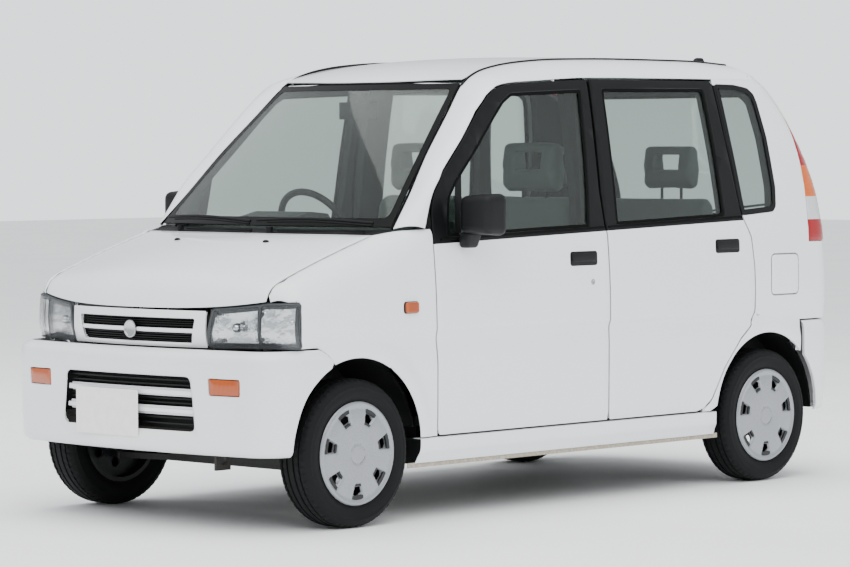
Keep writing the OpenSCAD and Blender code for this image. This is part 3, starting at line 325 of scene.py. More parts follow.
def panel(name, outline, place, body, mats, replaces=(), holes=(), us=None, vs=None, step=26, thick=1.2, roll=2.5,
        out=(0, 0, 1), lines=(), choose=None, angle=38):
    """Sheet part cut from a fine grid to its outline and holes, laid on a surface, with rolled edges and a wall."""
    outline = [tuple(p[:2]) for p in outline]
    holes = [[tuple(p[:2]) for p in h] for h in holes]
    lo = [min(p[k] for p in outline) for k in (0, 1)]
    hi = [max(p[k] for p in outline) for k in (0, 1)]
    us = sorted(set([lo[0]] + [u for u in (us or spread(lo[0], hi[0], step)) if lo[0] < u < hi[0]] + [hi[0]]))
    vs = sorted(set([lo[1]] + [v for v in (vs or spread(lo[1], hi[1], step)) if lo[1] < v < hi[1]] + [hi[1]]))
    bm = bmesh.new()
    grid = [[bm.verts.new((u, v, 0)) for u in us] for v in vs]
    for i in range(len(vs) - 1):
        for j in range(len(us) - 1):
            bm.faces.new((grid[i][j], grid[i][j + 1], grid[i + 1][j + 1], grid[i + 1][j]))
    cuts = [(outline, 0)] + [(h, 0) for h in holes]
    if roll:
        cuts += [(outline, 0.3), (outline, 1)] + [(h, -1) for h in holes]
    for poly, k in cuts:
        area = sum(poly[i - 1][0] * poly[i][1] - poly[i][0] * poly[i - 1][1] for i in range(len(poly)))
        sign = 1 if area > 0 else -1
        for i in range(len(poly)):
            a, b = Vector((*poly[i - 1], 0)), Vector((*poly[i], 0))
            if (b - a).length < 0.05:
                continue
            normal = Vector((b.y - a.y, a.x - b.x, 0)).normalized()
            shift = normal * (-sign * k * roll)
            a, b = a + shift, b + shift
            x0, x1 = min(a.x, b.x) - 1, max(a.x, b.x) + 1
            y0, y1 = min(a.y, b.y) - 1, max(a.y, b.y) + 1
            near = []
            for f in bm.faces:
                xs = [v.co.x for v in f.verts]
                ys = [v.co.y for v in f.verts]
                if max(xs) >= x0 and min(xs) <= x1 and max(ys) >= y0 and min(ys) <= y1:
                    near.append(f)
            if near:
                geom = set(near)
                for f in near:
                    geom.update(f.edges)
                    geom.update(f.verts)
                bmesh.ops.bisect_plane(bm, geom=list(geom), dist=0.02, plane_co=a, plane_no=normal)
    for a, b in lines:
        a, b = Vector((*a, 0)), Vector((*b, 0))
        bmesh.ops.bisect_plane(bm, geom=bm.faces[:] + bm.edges[:] + bm.verts[:], dist=0.02, plane_co=a,
            plane_no=Vector((b.y - a.y, a.x - b.x, 0)).normalized())
    gone = []
    for f in bm.faces:
        c = f.calc_center_median()
        if not inside(c.x, c.y, outline) or any(inside(c.x, c.y, h) for h in holes):
            gone.append(f)
        elif choose:
            f.material_index = choose(c.x, c.y)
    bmesh.ops.delete(bm, geom=gone, context="FACES")
    bmesh.ops.remove_doubles(bm, verts=bm.verts[:], dist=0.12)
    bmesh.ops.dissolve_degenerate(bm, edges=bm.edges[:], dist=0.05)
    spots = {}
    for v in bm.verts:
        spots[v] = (v.co.x, v.co.y)
    for v, (u, w) in spots.items():
        v.co = Vector(place(u, w))
    bm.normal_update()
    total = Vector((0, 0, 0))
    for f in bm.faces:
        total += f.normal * f.calc_area()
    if total.dot(Vector(out)) < 0:
        bmesh.ops.reverse_faces(bm, faces=bm.faces[:])
        bm.normal_update()
    if roll:
        moves = []
        for v, (u, w) in spots.items():
            d = edge_distance(u, w, [outline] + holes)
            if d < roll:
                moves.append((v, v.normal * (roll - math.sqrt(max(0, roll * roll - (roll - d) ** 2)))))
        for v, m in moves:
            v.co -= m
    for v in bm.verts:
        v.co /= 1000
    mesh = bpy.data.meshes.new(name)
    bm.to_mesh(mesh)
    bm.free()
    piece = bpy.data.objects.new(name, mesh)
    bpy.context.scene.collection.objects.link(piece)
    for m in mats:
        mesh.materials.append(m)
    finish_piece(piece, thick, angle)
    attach(piece, body)
    if replaces:
        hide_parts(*replaces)
    return piece


def finish_piece(piece, thick=0, angle=38):
    """Thickness inwards, applied, and smooth shading up to an angle."""
    bpy.ops.object.select_all(action="DESELECT")
    bpy.context.view_layer.objects.active = piece
    piece.select_set(True)
    if thick:
        wall = piece.modifiers.new("wall", "SOLIDIFY")
        wall.thickness, wall.offset = thick / 1000, -1
        bpy.ops.object.modifier_apply(modifier="wall")
    bpy.ops.object.shade_smooth_by_angle(angle=math.radians(angle))
    piece.select_set(False)


def bead(name, points, radius, mat, body, flat=1.0, cyclic=False, res=4):
    """Extruded strip or seal of round section along a line of points."""
    curve = bpy.data.curves.new(name, "CURVE")
    curve.dimensions = "3D"
    line = curve.splines.new("POLY")
    line.points.add(len(points) - 1)
    for p, q in zip(line.points, points):
        p.co = (q[0] / 1000, q[1] / 1000, q[2] / 1000, 1)
    line.use_cyclic_u = cyclic
    curve.bevel_depth = radius / 1000
    curve.bevel_resolution = res
    curve.use_fill_caps = True
    piece = bpy.data.objects.new(name, curve)
    bpy.context.scene.collection.objects.link(piece)
    bpy.ops.object.select_all(action="DESELECT")
    piece.select_set(True)
    bpy.context.view_layer.objects.active = piece
    bpy.ops.object.convert(target="MESH")
    piece = bpy.context.object
    piece.data.materials.clear()
    piece.data.materials.append(mat)
    finish_piece(piece, 0, 50)
    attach(piece, body)
    return piece


def on_side(points, sink=0, k=1):
    return [(k * (side_x(p[0], p[1]) - sink), p[0], p[1]) for p in points]


FRONT_DOOR = [(-738, 300, 10), (180, 300, 4), (185, 330), (182, 800), (174, 1000), (166, 1030), (152, 1160),
    (152, 1300), (154, 1450), (156, 1583, 3), (-105, 1572), (-262, 1563), (-340, 1552, 90), (-378, 1536),
    (-407, 1515), (-470, 1460), (-573, 1352), (-685, 1243), (-746, 1167, 60), (-768, 1100, 90), (-771, 989, 3),
    (-763, 811), (-758, 669), (-748, 560), (-746, 325, 12)]
REAR_DOOR = [(715, 300, 30), (758, 311, 40), (795, 345, 60), (833, 404), (872, 466), (973, 576), (1036, 622, 30),
    (1056, 665, 30), (1062, 755), (1058, 860), (1042, 969, 20), (1016, 1017), (994, 1060), (979, 1114), (932, 1362),
    (902, 1570, 8), (890, 1584, 8), (170, 1584, 3), (168, 1450), (164, 1300), (163, 1160), (175, 1030), (181, 1000),
    (189, 800), (192, 330), (197, 300, 4)]
FRONT_WINDOW = [(-700, 1010, 14), (80, 1030, 6), (92, 1160), (112, 1544, 8), (-279, 1528, 40), (-330, 1500, 40),
    (-395, 1440), (-510, 1325), (-627, 1215), (-680, 1150, 40)]
REAR_WINDOW = [(237, 1035, 6), (889, 1055, 14), (868, 1300), (842, 1552, 16), (235, 1548, 10)]
QUARTER_HOLE = [(1000, 1056, 14), (1203, 1068, 30), (1222, 1090, 20), (1228, 1165), (1205, 1363), (1172, 1500),
    (1157, 1534, 20), (1123, 1558, 30), (1039, 1570), (920, 1572, 10), (948, 1362), (986, 1120)]


def belt(y):
    return 985 + 0.0295 * (y + 771)


# ---- Doors ----
# Four doors of pressed steel: white skins folded at their rims, black satin window frames that stand on the belt line
# and moulded grey-green trim inside. Each hangs on hinges at its front edge.
TRIM_DEPTH = 46
for side, k in (("left", 1), ("right", -1)):
    for door, hole, which in ((FRONT_DOOR, FRONT_WINDOW, "front"), (REAR_DOOR, REAR_WINDOW, "rear")):
        body = which + "_door_" + side
        rim, cut = rounded(door, 0), rounded(hole, 0)
        ys = spread(-800, 1100, 38)
        zs = [300, 345, 390, 440, 500, 560, 600, 625, 645, 655, 665, 672, 680, 690, 720, 760, 800, 850, 900, 950,
            1000, 1050, 1100, 1160, 1220, 1280, 1340, 1400, 1450, 1500, 1550, 1590]
        panel("skin_" + body, rim, lambda u, v, k=k: (k * side_x(u, v), u, v), body, [white, frame_black], (body,),
            [cut], us=ys, vs=zs, thick=14, out=(k, 0, 0), lines=[((-771, belt(-771)), (1100, belt(1100)))],
            choose=lambda u, v: 1 if v > belt(u) else 0, roll=3)
        inner = rounded(grown(door, -17), 12)
        panel("trim_" + body, inner, lambda u, v, k=k: (k * (side_x(u, v, False) - 14.5), u, v), body, [trim_grey],
            (),
            [rounded(grown(hole, 1), 0)], step=70, thick=TRIM_DEPTH - 15, out=(k, 0, 0), roll=0)
        pane = rounded(grown(hole, -1.5), 0)
        panel("pane_" + body, pane, lambda u, v, k=k: (k * (side_x(u, v) - 7), u, v), body, [glass],
            (which + "_glass_" + side,), (), step=60, thick=4, out=(k, 0, 0), roll=0)
        panel("seal_" + body, rounded(grown(hole, -0.6), 0), lambda u, v, k=k: (k * (side_x(u, v) - 2.5), u, v), body,
            [seal_rubber], (), [rounded(grown(hole, -11), 6)], step=80, thick=4, out=(k, 0, 0), roll=0)
        y0, y1 = (-742, 168) if which == "front" else (182, 1000)
        bead("belt_seal_" + body, on_side([(y, belt(y) + 14) for y in spread(y0 + 6, y1 - 6, 60)], 0, k), 4.5,
            seal_rubber, body)
    # bar between the front door's window and its small fixed pane
    bar = [(-652, 1014), (-622, 1014), (-603, 1150), (-590, 1262), (-620, 1232), (-636, 1150)]
    panel("pane_bar_" + side, bar, lambda u, v, k=k: (k * (side_x(u, v) - 4), u, v), "front_door_" + side,
        [frame_black], (), (), step=40, thick=4, out=(k, 0, 0), roll=0)

# ---- Rear quarters, lamps and flap ----
# One pressing a side from the rear door to the back door's edge, turned round the corner, with the fixed side glass,
# the tall tail lamp let into its rear edge and the fuel flap on the left.
CORNER = 105
GATE = [(-560, 690, 30), (-510, 636, 30), (510, 636, 30), (560, 690, 30), (560, 1000), (553, 1400), (542, 1560, 60),
    (470, 1634, 40), (-470, 1634, 40), (-542, 1560, 60), (-553, 1400), (-560, 1000)]


def corner_mid(z):
    x1 = side_x(1450, z, False) - CORNER
    return x1, rear_mid(z) - 8.3e-5 * x1 * x1 - CORNER


def rear_y(x, z):
    return rear_mid(z) - 8.3e-5 * x * x


def around(s, z, sink=0):
    """Point of the rear quarter: s is the distance along the car, then round the corner and across the back."""
    x1, y1 = corner_mid(z)
    if s <= y1:
        return side_x(s, z) - sink, s, z
    a = (s - y1) / CORNER
    if a <= math.pi / 2:
        r = CORNER - sink
        return x1 + r * math.cos(a) + (side_x(y1, z, False) - x1 - CORNER) * math.cos(a), y1 + r * math.sin(a), z
    x = x1 - (s - y1 - CORNER * math.pi / 2)
    return x, rear_y(x, z) - sink, z


def from_y(y, z):
    x1, y1 = corner_mid(z)
    return (y, z) if y <= y1 else (y1 + CORNER * math.asin(min(1, (y - y1) / CORNER)), z)


def from_x(x, z):
    x1, y1 = corner_mid(z)
    if x >= x1:
        return y1 + CORNER * math.acos(min(1, (x - x1) / CORNER)), z
    return y1 + CORNER * math.pi / 2 + x1 - x, z


def dense(points, step=30):
    out = []
    for i, p in enumerate(points):
        q = points[(i + 1) % len(points)]
        n = max(1, int(math.hypot(q[0] - p[0], q[1] - p[1]) / step))
        out += [(p[0] + (q[0] - p[0]) * t / n, p[1] + (q[1] - p[1]) * t / n) for t in range(n)]
    return out


def arc(c, r, a0, a1, n=26):
    return [(c[0] + r * math.cos(math.radians(a0 + (a1 - a0) * i / n)), c[1] + r * math.sin(math.radians(
        a0 + (a1 - a0) * i / n))) for i in range(n + 1)]


door_rim = grown(rounded(REAR_DOOR, 0), 6)
door_rear = [p for p in door_rim if p[0] > 745 and 296 < p[1] < 1586]
door_rear.sort(key=lambda p: p[1])
arch_line = [p for p in arc(REAR_ARCH, ARCH_R, 176, 20, 40) if p[1] > 296]
gate_edge = [from_x(x + 6, z) for x, z in ((470, 1640), (506, 1612), (546, 1560), (553, 1400), (557, 1200), (560,
    1000), (560, 850), (560, 690), (534, 660), (500, 634))]
quarter = [(785, 296)] + [p for p in arch_line if p[0] < 1364 or p[1] > 500] + [(1365, 634)] \
    + [(1420, 634), from_x(660, 634)] + gate_edge[::-1] + [(1150, 1640), (1150, 1594), (906, 1594)] \
    + [p for p in door_rear[::-1] if p[1] < 1580]
LAMP_FRONT = [(1422, 945), (1425, 1063), (1424, 1163), (1412, 1252), (1389, 1344), (1364, 1444), (1336, 1524),
    (1312, 1574)]
lamp_side = [(min(from_y(*p)[0], corner_mid(p[1])[1] + CORNER * math.radians(reach)), p[1])
    for p, reach in zip(LAMP_FRONT, (90, 90, 70, 58, 50, 44, 40, 38))]
lamp_gate = [from_x(x + 7, z) for x, z in ((560, 945), (560, 1063), (558, 1163), (556, 1252), (554, 1344), (550,
    1444), (545, 1524), (540, 1574))]
lamp_rim = lamp_gate + lamp_side[::-1]
flap_rim = rounded([(1170, 740), (1345, 740), (1346, 896), (1172, 897)], 22)
window_cut = rounded(QUARTER_HOLE, 0)
quarter_front = curve_of([(1030, 1010), (1056, 1004), (1120, 990), (1362, 952), (1572, 924)])
for side, k in (("left", 1), ("right", -1)):
    holes = [window_cut, lamp_rim] + ([grown(flap_rim, 5)] if k > 0 else [])
    spine = spread(740, 1130, 36) + spread(1150, 1700, 14)
    panel("quarter_" + side, quarter, lambda u, v, k=k: (k * around(u, v)[0], around(u, v)[1], v), "root", [white,
        frame_black], ("quarter_panels",) if k > 0 else (), holes, us=spine, step=34, thick=22, out=(k, 0.2, 0),
        roll=2.5, lines=[((0, 1040), (1, 1040)), ((0, 1568), (1, 1568))],
        choose=lambda u, v: 1 if 1040 < v < 1568 and u < quarter_front(v) else 0)
    for name, rim, sink, thick, mat, more in (("quarter_pane_", grown(window_cut, -1.5), 4, 4, glass, ()),
            ("quarter_seal_", grown(window_cut, -0.5), 0.6, 5, frame_black, [grown(window_cut, -22)])):
        panel(name + side, rim, lambda u, v, k=k, sink=sink: (k * around(u, v, sink)[0], around(u, v, sink)[1], v),
            "root", [mat], ("quarter_glass",) if "pane" in name and k > 0 else (), more, step=40, thick=thick,
            out=(k, 0, 0), roll=0)

# moulded trim inside the quarter, from the rear door to the back door
for side, k in (("left", 1), ("right", -1)):
    inner_side = [(1072, 640)] + [from_x(x + 14, z) for x, z in ((560, 640), (560, 850), (560, 1000), (557, 1200),
        (553, 1400), (546, 1540))] + [(1160, 1592), (936, 1586), (990, 1130), (1052, 1000)]
    panel("quarter_trim_" + side, dense(inner_side, 50), lambda u, v, k=k: (k * around(u, v, 24)[0],
        around(u, v, 24)[1], v), "root", [trim_grey], (), [grown(window_cut, 3)], step=45, thick=38, out=(k, 0.2, 0),
        roll=0)

# Tail lamps: one moulded cover of red, amber and clear acrylic over its reflector, ribbed inside
lamp_red, s = material("red_acrylic_lens", "96060f", 0.15, Coat_Weight=0.3)
place = node(lamp_red, "ShaderNodeTexCoord")
ribs = node(lamp_red, "ShaderNodeTexWave", [("Vector", place, "Object")], Scale=60.0, Distortion=0.0)
ribs.bands_direction = "Z"
bump = node(lamp_red, "ShaderNodeBump", [("Height", ribs, "Fac")], Strength=0.25, Distance=0.0012)
lamp_red.node_tree.links.new(bump.outputs["Normal"], s.inputs["Normal"])
lamp_amber, s = material("amber_acrylic_lens", "c8590f", 0.15, Coat_Weight=0.3)
grained(lamp_amber, s, 4, 0.15, ("be520b", "d4661a"))
lamp_white, s = material("frosted_clear_acrylic_lens", "c9cccd", 0.2, Coat_Weight=0.3)
grained(lamp_white, s, 4, 0.15, ("bcbfc1", "d3d6d7"))
for side, k in (("left", 1), ("right", -1)):
    panel("tail_lamp_" + side, grown(lamp_rim, -1.2), lambda u, v, k=k: (k * around(u, v, -2)[0], around(u, v, -2)[1],
        v), "root", [lamp_red, lamp_amber, lamp_white], ("rear_lamps",) if k > 0 else (), (), step=30, thick=30,
        out=(k, 0.4, 0), roll=5, lines=[((0, 1250), (1, 1250)), ((0, 1125), (1, 1125)), ((0, 1033), (1, 1033))],
        choose=lambda u, v: 0 if v > 1250 or v < 1033 else 1 if v > 1125 else 2)
panel("flap_skin", flap_rim, lambda u, v: (side_x(u, v), u, v), "fuel_flap", [white], ("fuel_flap",), (), step=30,
    thick=4, out=(1, 0, 0), roll=2)
panel("flap_recess", grown(flap_rim, 7), lambda u, v: (side_x(u, v) - 20, u, v), "root", [white], (), (), step=60,
    thick=2, out=(1, 0, 0), roll=0)

# ---- Wings ----
# A pressed wing a side, from the bonnet's edge over the shoulder and down round the wheel.
BONNET_SIDE = 582


def bonnet_front(x):
    return -1600 + 3.0e-4 * x * x


def bonnet_rear(x):
    return -1050 + 2.0e-4 * x * x


def bonnet_point(x, u, lift=0):
    side = 0.195 * (1 - math.exp(-u / 0.03)) + 0.805 * u + 0.12 * u * (1 - u)
    mid = 0.40 * (1 - math.exp(-u / 0.05)) + 0.60 * u + 0.22 * u * (1 - u)
    w = (abs(x) / 590) ** 2
    z0 = 773 + 31 * min(1, abs(x) / 590) ** 3
    z1 = 1022 - 2 * w
    y = bonnet_front(x) + u * (bonnet_rear(x) - bonnet_front(x))
    return x, y, z0 + ((1 - w) * mid + w * side) * (z1 - z0) + lift


edge_rear = curve_of([(-998, 1020), (-872, 1037), (-760, 1041)])
wing_inner = curve_of([(-998, 588), (-905, 618), (-872, 640), (-760, 676)])
wing_drop = curve_of([(-1425, 132), (-1000, 118), (-760, 45)])


def edge_z(y):
    if y < -998:
        f, r = bonnet_front(BONNET_SIDE), bonnet_rear(BONNET_SIDE)
        return bonnet_point(BONNET_SIDE, max(0, (y - f) / (r - f)))[2]
    return edge_rear(y)


NOSE_CORNER = 105
NOSE_X = side_x(-1400, 750, False) - NOSE_CORNER
nose_step = curve_of([(600, 22), (640, 8), (700, -4), (773, 0), (806, 9)])


def nose_y(x, z):
    return bonnet_front(x) + nose_step(z)


def wing_point(y, t):
    """t is the depth below the wing's upper edge."""
    zb, drop, xb = edge_z(y), wing_drop(y), wing_inner(y)
    z = zb - t
    y1 = nose_y(NOSE_X, 790) + NOSE_CORNER

    def width(z):
        x = side_x(y, z)
        return x if y > y1 else min(x, NOSE_X + math.sqrt(max(0, NOSE_CORNER ** 2 - (y1 - y) ** 2)))
    if t >= drop:
        return width(z), y, z
    c = 1 - max(0, t) / drop
    return xb + (width(zb - drop) - xb) * math.sqrt(max(0, 1 - c * c)), y, z


door_edge = [(-777, 1041)] + [(-777, 989), (-769, 811), (-764, 669), (-754, 560), (-752, 325), (-750, 298)]
front_arch = [p for p in arc(FRONT_ARCH, ARCH_R, 4, 160, 44) if p[1] > 296 and not (p[0] < -1230 and p[1] < 600)]
front_arch = [p for p in front_arch if not (p[0] < -1190 and p[1] < 566)]
wing_rim = [(-1492, 800), (-1424, 800), (-1424, 639), (-1346, 639), (-1308, 619), (-1266, 577)] + [p for p in
    front_arch[::-1] if p[0] > -1262] + [(-838, 298)] + door_edge[::-1] + [(-812, 1041), (-872, 1039), (-909, 1033)]
top_line = [(y, edge_z(y)) for y in (-930, -960, -998, -1050, -1100, -1150, -1200, -1250, -1300, -1350, -1400, -1450,
    -1480, -1492)]
wing_rim = wing_rim[:-3] + [(-812, edge_z(-812)), (-872, edge_z(-872)), (-905, edge_z(-905))] + top_line
depths = [0, 0.4, 1.5, 4, 8, 14, 22, 32, 44, 58, 74, 92, 110, 126, 140] + spread(160, 760, 22)
wing_rim = [(y, edge_z(y) - z) for y, z in dense(wing_rim, 24)]
wing_rim = [(y, max(0, t)) for y, t in wing_rim]
for side, k in (("left", 1), ("right", -1)):
    panel("wing_" + side, wing_rim, lambda u, v, k=k: (k * wing_point(u, v)[0],) + wing_point(u, v)[1:], "root",
        [white],
        ("wings",) if k > 0 else (), (), us=spread(-1492, -760, 18), vs=depths, thick=3, out=(k, 0, 0.3), roll=2)

# ---- Bonnet ----
# Pressed skin over its frame, hinged at the cowl, with two small black washer nozzles near its rear edge.
us = [0, 0.004, 0.01, 0.018, 0.028, 0.042, 0.06, 0.085, 0.12, 0.16] + spread(0.2, 1, 0.05)
rim = rounded([(-BONNET_SIDE, 0), (BONNET_SIDE, 0), (BONNET_SIDE, 1000), (-BONNET_SIDE, 1000)], 0)
panel("bonnet_skin", dense(rim, 30), lambda u, v: bonnet_point(u, v / 1000), "bonnet", [white], ("bonnet",), (),
    us=spread(-BONNET_SIDE, BONNET_SIDE, 30), vs=[1000 * u for u in us], thick=9, out=(0, -0.3, 1), roll=2.5)
for k in (-1, 1):
    x, y, z = bonnet_point(234 * k, 0.77)
    bpy.ops.object.select_all(action="DESELECT")
    bpy.ops.mesh.primitive_uv_sphere_add(segments=24, ring_count=12, radius=0.011, location=(x / 1000, y / 1000,
        z / 1000))
    nozzle = bpy.context.object
    nozzle.name = "washer_nozzle_" + ("left" if k > 0 else "right")
    nozzle.scale = (1.3, 0.9, 0.7)
    bpy.ops.object.transform_apply(location=True, rotation=True, scale=True)
    nozzle.data.materials.append(black_plastic)
    bpy.ops.object.shade_smooth()
    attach(nozzle, "bonnet")

# ---- Roof, drip strips, screen pillars and windscreen ----
# Pressed roof between two black drip strips; the pillars run up beside the bonded windscreen and back as roof rails.
strip_x = curve_of([(-400, 466), (-300, 458), (-100, 460), (600, 470), (1240, 478)])


def roof_point(x, y):
    return x, y, roof_mid(y) - 20 * (x / 500) ** 2


def roof_grid(f, y):
    x = f * (strip_x(y) - 2) / 1000
    front = -434 + 54 * (x / 471) ** 2
    back = 1198 - 9e-5 * x * x
    y = front + (y + 434) / (1198 + 434) * (back - front)
    return roof_point(x, y)


rows = [-434, -420, -405, -385, -360, -330, -300, -250, -200, -150, -90, 0] + spread(60, 1198, 60) + [1150, 1175]
panel("roof_skin", dense([(-1000, -434), (1000, -434), (1000, 1198), (-1000, 1198)], 60), roof_grid, "root", [white],
    ("roof",), (), us=spread(-1000, 1000, 50), vs=rows, thick=3, out=(0, 0, 1), roll=0)
panel("roof_lining", dense([(-985, -400), (985, -400), (985, 1160), (-985, 1160)], 90),
    lambda f, y: (roof_grid(f, y)[0], roof_grid(f, y)[1], roof_grid(f, y)[2] - 16), "root", [trim_grey], (), (),
    step=110, thick=8, out=(0, 0, 1), roll=0)
RAIL_IN = [(614, -903, 1042), (583, -787, 1160), (545, -660, 1300), (504, -505, 1450), (474, -395, 1556),
    (466, -330, 1594), (461, -260, 1617), (460, -100, 1643), (464, 150, 1659), (468, 500, 1664), (472, 900, 1662),
    (475, 1149, 1650)]
RAIL_OUT = [(684, -812, 1042), (670, -760, 1160), (650, -640, 1290), (629, -505, 1428), (616, -420, 1508),
    (610, -350, 1556), (607, -270, 1569), (603, -105, 1578), (601, 150, 1590), (600, 500, 1592), (600, 900, 1592),
    (599, 1149, 1592)]
rail_lines = [[curve_of([(j, p[c]) for j, p in enumerate(line)]) for c in (0, 1, 2)] for line in (RAIL_IN, RAIL_OUT)]


def rail_point(j, f):
    a, b = [Vector([c(j) for c in line]) for line in rail_lines]
    return tuple(a + (b - a) * f + Vector((14, -4, 10)) * 4 * f * (1 - f))


cut_doors = [grown(rounded(d, 0), 6) for d in (FRONT_DOOR, REAR_DOOR)]
for side, k in (("left", 1), ("right", -1)):
    bm = bmesh.new()
    fs = [0, 0.03, 0.1, 0.2, 0.3, 0.4, 0.5, 0.6, 0.68, 0.76, 0.84, 0.9, 0.95, 1]
    js = spread(0, 11, 0.14)
    verts = []
    for j in js:
        row = []
        for f in fs:
            x, y, z = rail_point(j, f)
            row.append(bm.verts.new((k * x / 1000, y / 1000, z / 1000)))
        verts.append(row)
    for a, b in zip(verts, verts[1:]):
        for i in range(len(fs) - 1):
            bm.faces.new((a[i], a[i + 1], b[i + 1], b[i]))
    bm.normal_update()
    total = sum((f.normal for f in bm.faces), Vector())
    if total.dot(Vector((k, 0, 1))) < 0:
        bmesh.ops.reverse_faces(bm, faces=bm.faces[:])
    # the pressing is cut back along the doors' openings
    for poly in cut_doors:
        for i in range(len(poly)):
            a, b = poly[i - 1], poly[i]
            if max(a[1], b[1]) < 1030 or math.hypot(b[0] - a[0], b[1] - a[1]) < 0.1:
                continue
            near = [f for f in bm.faces if max(v.co.y for v in f.verts) * 1000 > min(a[0],
                b[0]) - 2 and min(v.co.y for v in
                f.verts) * 1000 < max(a[0], b[0]) + 2 and max(v.co.z for v in f.verts) * 1000 > min(a[1], b[1]) - 2
                and min(v.co.z for v in f.verts) * 1000 < max(a[1], b[1]) + 2]
            if near:
                geom = set(near)
                for f in near:
                    geom.update(f.edges)
                    geom.update(f.verts)
                bmesh.ops.bisect_plane(bm, geom=list(geom), dist=1e-5, plane_co=(0, a[0] / 1000, a[1] / 1000),
                    plane_no=Vector((0, b[1] - a[1], a[0] - b[0])).normalized())
    gone = []
    for f in bm.faces:
        c = f.calc_center_median() * 1000
        if any(inside(c.y, c.z, poly) for poly in cut_doors) or (138 < c.y < 192 and c.z < 1589):
            gone.append(f)
    bmesh.ops.delete(bm, geom=gone, context="FACES")
    bmesh.ops.remove_doubles(bm, verts=bm.verts[:], dist=0.0001)
    mesh = bpy.data.meshes.new("rail_" + side)
    bm.to_mesh(mesh)
    bm.free()
    rail = bpy.data.objects.new("rail_" + side, mesh)
    bpy.context.scene.collection.objects.link(rail)
    mesh.materials.append(white)
    finish_piece(rail, 3)
    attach(rail, "root")
    bead("drip_strip_" + side, [(k * (p[0] - 1), p[1], p[2] - 0.5) for p in (rail_point(j, 0) for j in spread(4.0, 11,
        0.2))], 6.5, frame_black, "root")
    bead("screen_seal_" + side, [(k * (p[0] - 3), p[1] - 2, p[2] - 2) for p in (rail_point(j, 0) for j in
        spread(0, 4.0, 0.2))], 5, seal_rubber, "root")
    # inner face of the pillars and the middle pillar, trimmed in grey
    panel("middle_pillar_" + side, [(112, 331), (238, 331), (238, 1592), (112, 1592)],
        lambda u, v, k=k: (k * (side_x(u, v, False) - 88), u, v), "root", [trim_grey],
        ("side_frames",) if k > 0 else (), (), step=60, thick=34, out=(k, 0, 0), roll=0)


def screen_y(x, z):
    return -440 + 54 * (x / 471) ** 2 - 1.05 * (1571 - z) - 14 * math.sin(math.pi * max(0, min(1, (z - 1046) / 525)))


screen_half = curve_of([(1046, 606), (1300, 545), (1556, 470), (1571, 466)])
SCREEN_STEPS = spread(1048, 1565, 24)


def screen_point(f, z, sink=0):
    x = f / 1000 * (screen_half(z) - 4)
    return x, screen_y(x, z) + sink, z


outer_rim = [(-1000, 1048), (1000, 1048), (1000, 1565), (-1000, 1565)]
inner_rim = rounded([(-958, 1078), (958, 1078), (950, 1545), (-950, 1545)], 34)
panel("windscreen_pane", dense(outer_rim, 60), lambda f, z: screen_point(f, z, 2), "root", [glass], ("windscreen",),
    (), us=spread(-1000, 1000, 60), vs=SCREEN_STEPS, thick=4, out=(0, -1, 0.5), roll=0)
panel("windscreen_band", dense(outer_rim, 60), lambda f, z: screen_point(f, z, 1.2), "root", [ceramic], (),
    [inner_rim],
    us=spread(-1000, 1000, 60), vs=SCREEN_STEPS, thick=0.5, out=(0, -1, 0.5), roll=0)
bead("screen_top_seal", [(x, -436 + 54 * (x / 471) ** 2, 1563 - 18 * (x / 500) ** 2) for x in spread(-462, 462, 30)],
    9, seal_rubber, "root")

# ---- Bumpers ----
# Moulded polypropylene in body colour, wrapped from wheel arch to wheel arch. The front one has a wide intake crossed
# by two white bars, with an amber lamp at each side of it.
bumper_white, s = material("painted_polypropylene", "eceef0", 0.38, Coat_Weight=0.7, Coat_Roughness=0.1)
grained(bumper_white, s, 500, 0.01, ("e9ebee", "f0f2f3"))
HALF = 1647.5
BOW = 1.49e-4


BUMPER_SIDE = 697
FRONT_CORNER, REAR_CORNER = 150, 125


def bumper_point(s, z, front, sink=0):
    r = FRONT_CORNER if front else REAR_CORNER
    step = (curve_of([(266, 26), (276, 14), (288, 8), (320, 5), (380, 2), (470, 3), (545, 0), (590, 0.5), (605, 3),
        (616, 9),
        (626, 22), (631, 32), (636, 44)]) if front else curve_of([(262, 30), (272, 17), (286, 11), (320, 8), (380, 4),
        (520, 0), (600, 0), (612, 3), (620, 7), (630, 18)]))(z) + sink
    if front:
        # flush with the wing where they meet on the side
        flush = smooth(min(1, max(0, (abs(s) - 790) / 85)))
        step = step * (1 - flush) + min(step, 5) * flush
        # the bed of the intake is pressed in round its edge
        wide, high = max(0, abs(s) - 347 + (z - 348) * 0.115), max(0, z - 537, 348 - z)
        step += 8 * (1 - smooth(min(1, math.hypot(wide, high) / 20)))
    x1 = BUMPER_SIDE - r
    y1 = HALF - BOW * x1 * x1 - r
    d = -1 if front else 1
    k = 1 if s >= 0 else -1
    s = abs(s)
    if s < x1:
        return k * s, d * (HALF - BOW * s * s - step), z
    a = (s - x1) / r
    if a < math.pi / 2:
        b = math.pi / 2 - a
        return k * (x1 + (r - step) * math.cos(b)), d * (y1 + (r - step) * math.sin(b)), z
    y = y1 - (s - x1 - r * math.pi / 2)
    return k * (BUMPER_SIDE - step), d * y, z


def bumper_s(y, front):
    r = FRONT_CORNER if front else REAR_CORNER
    x1 = BUMPER_SIDE - r
    y1 = HALF - BOW * x1 * x1 - r
    return x1 + r * math.pi / 2 + (y1 - abs(y))


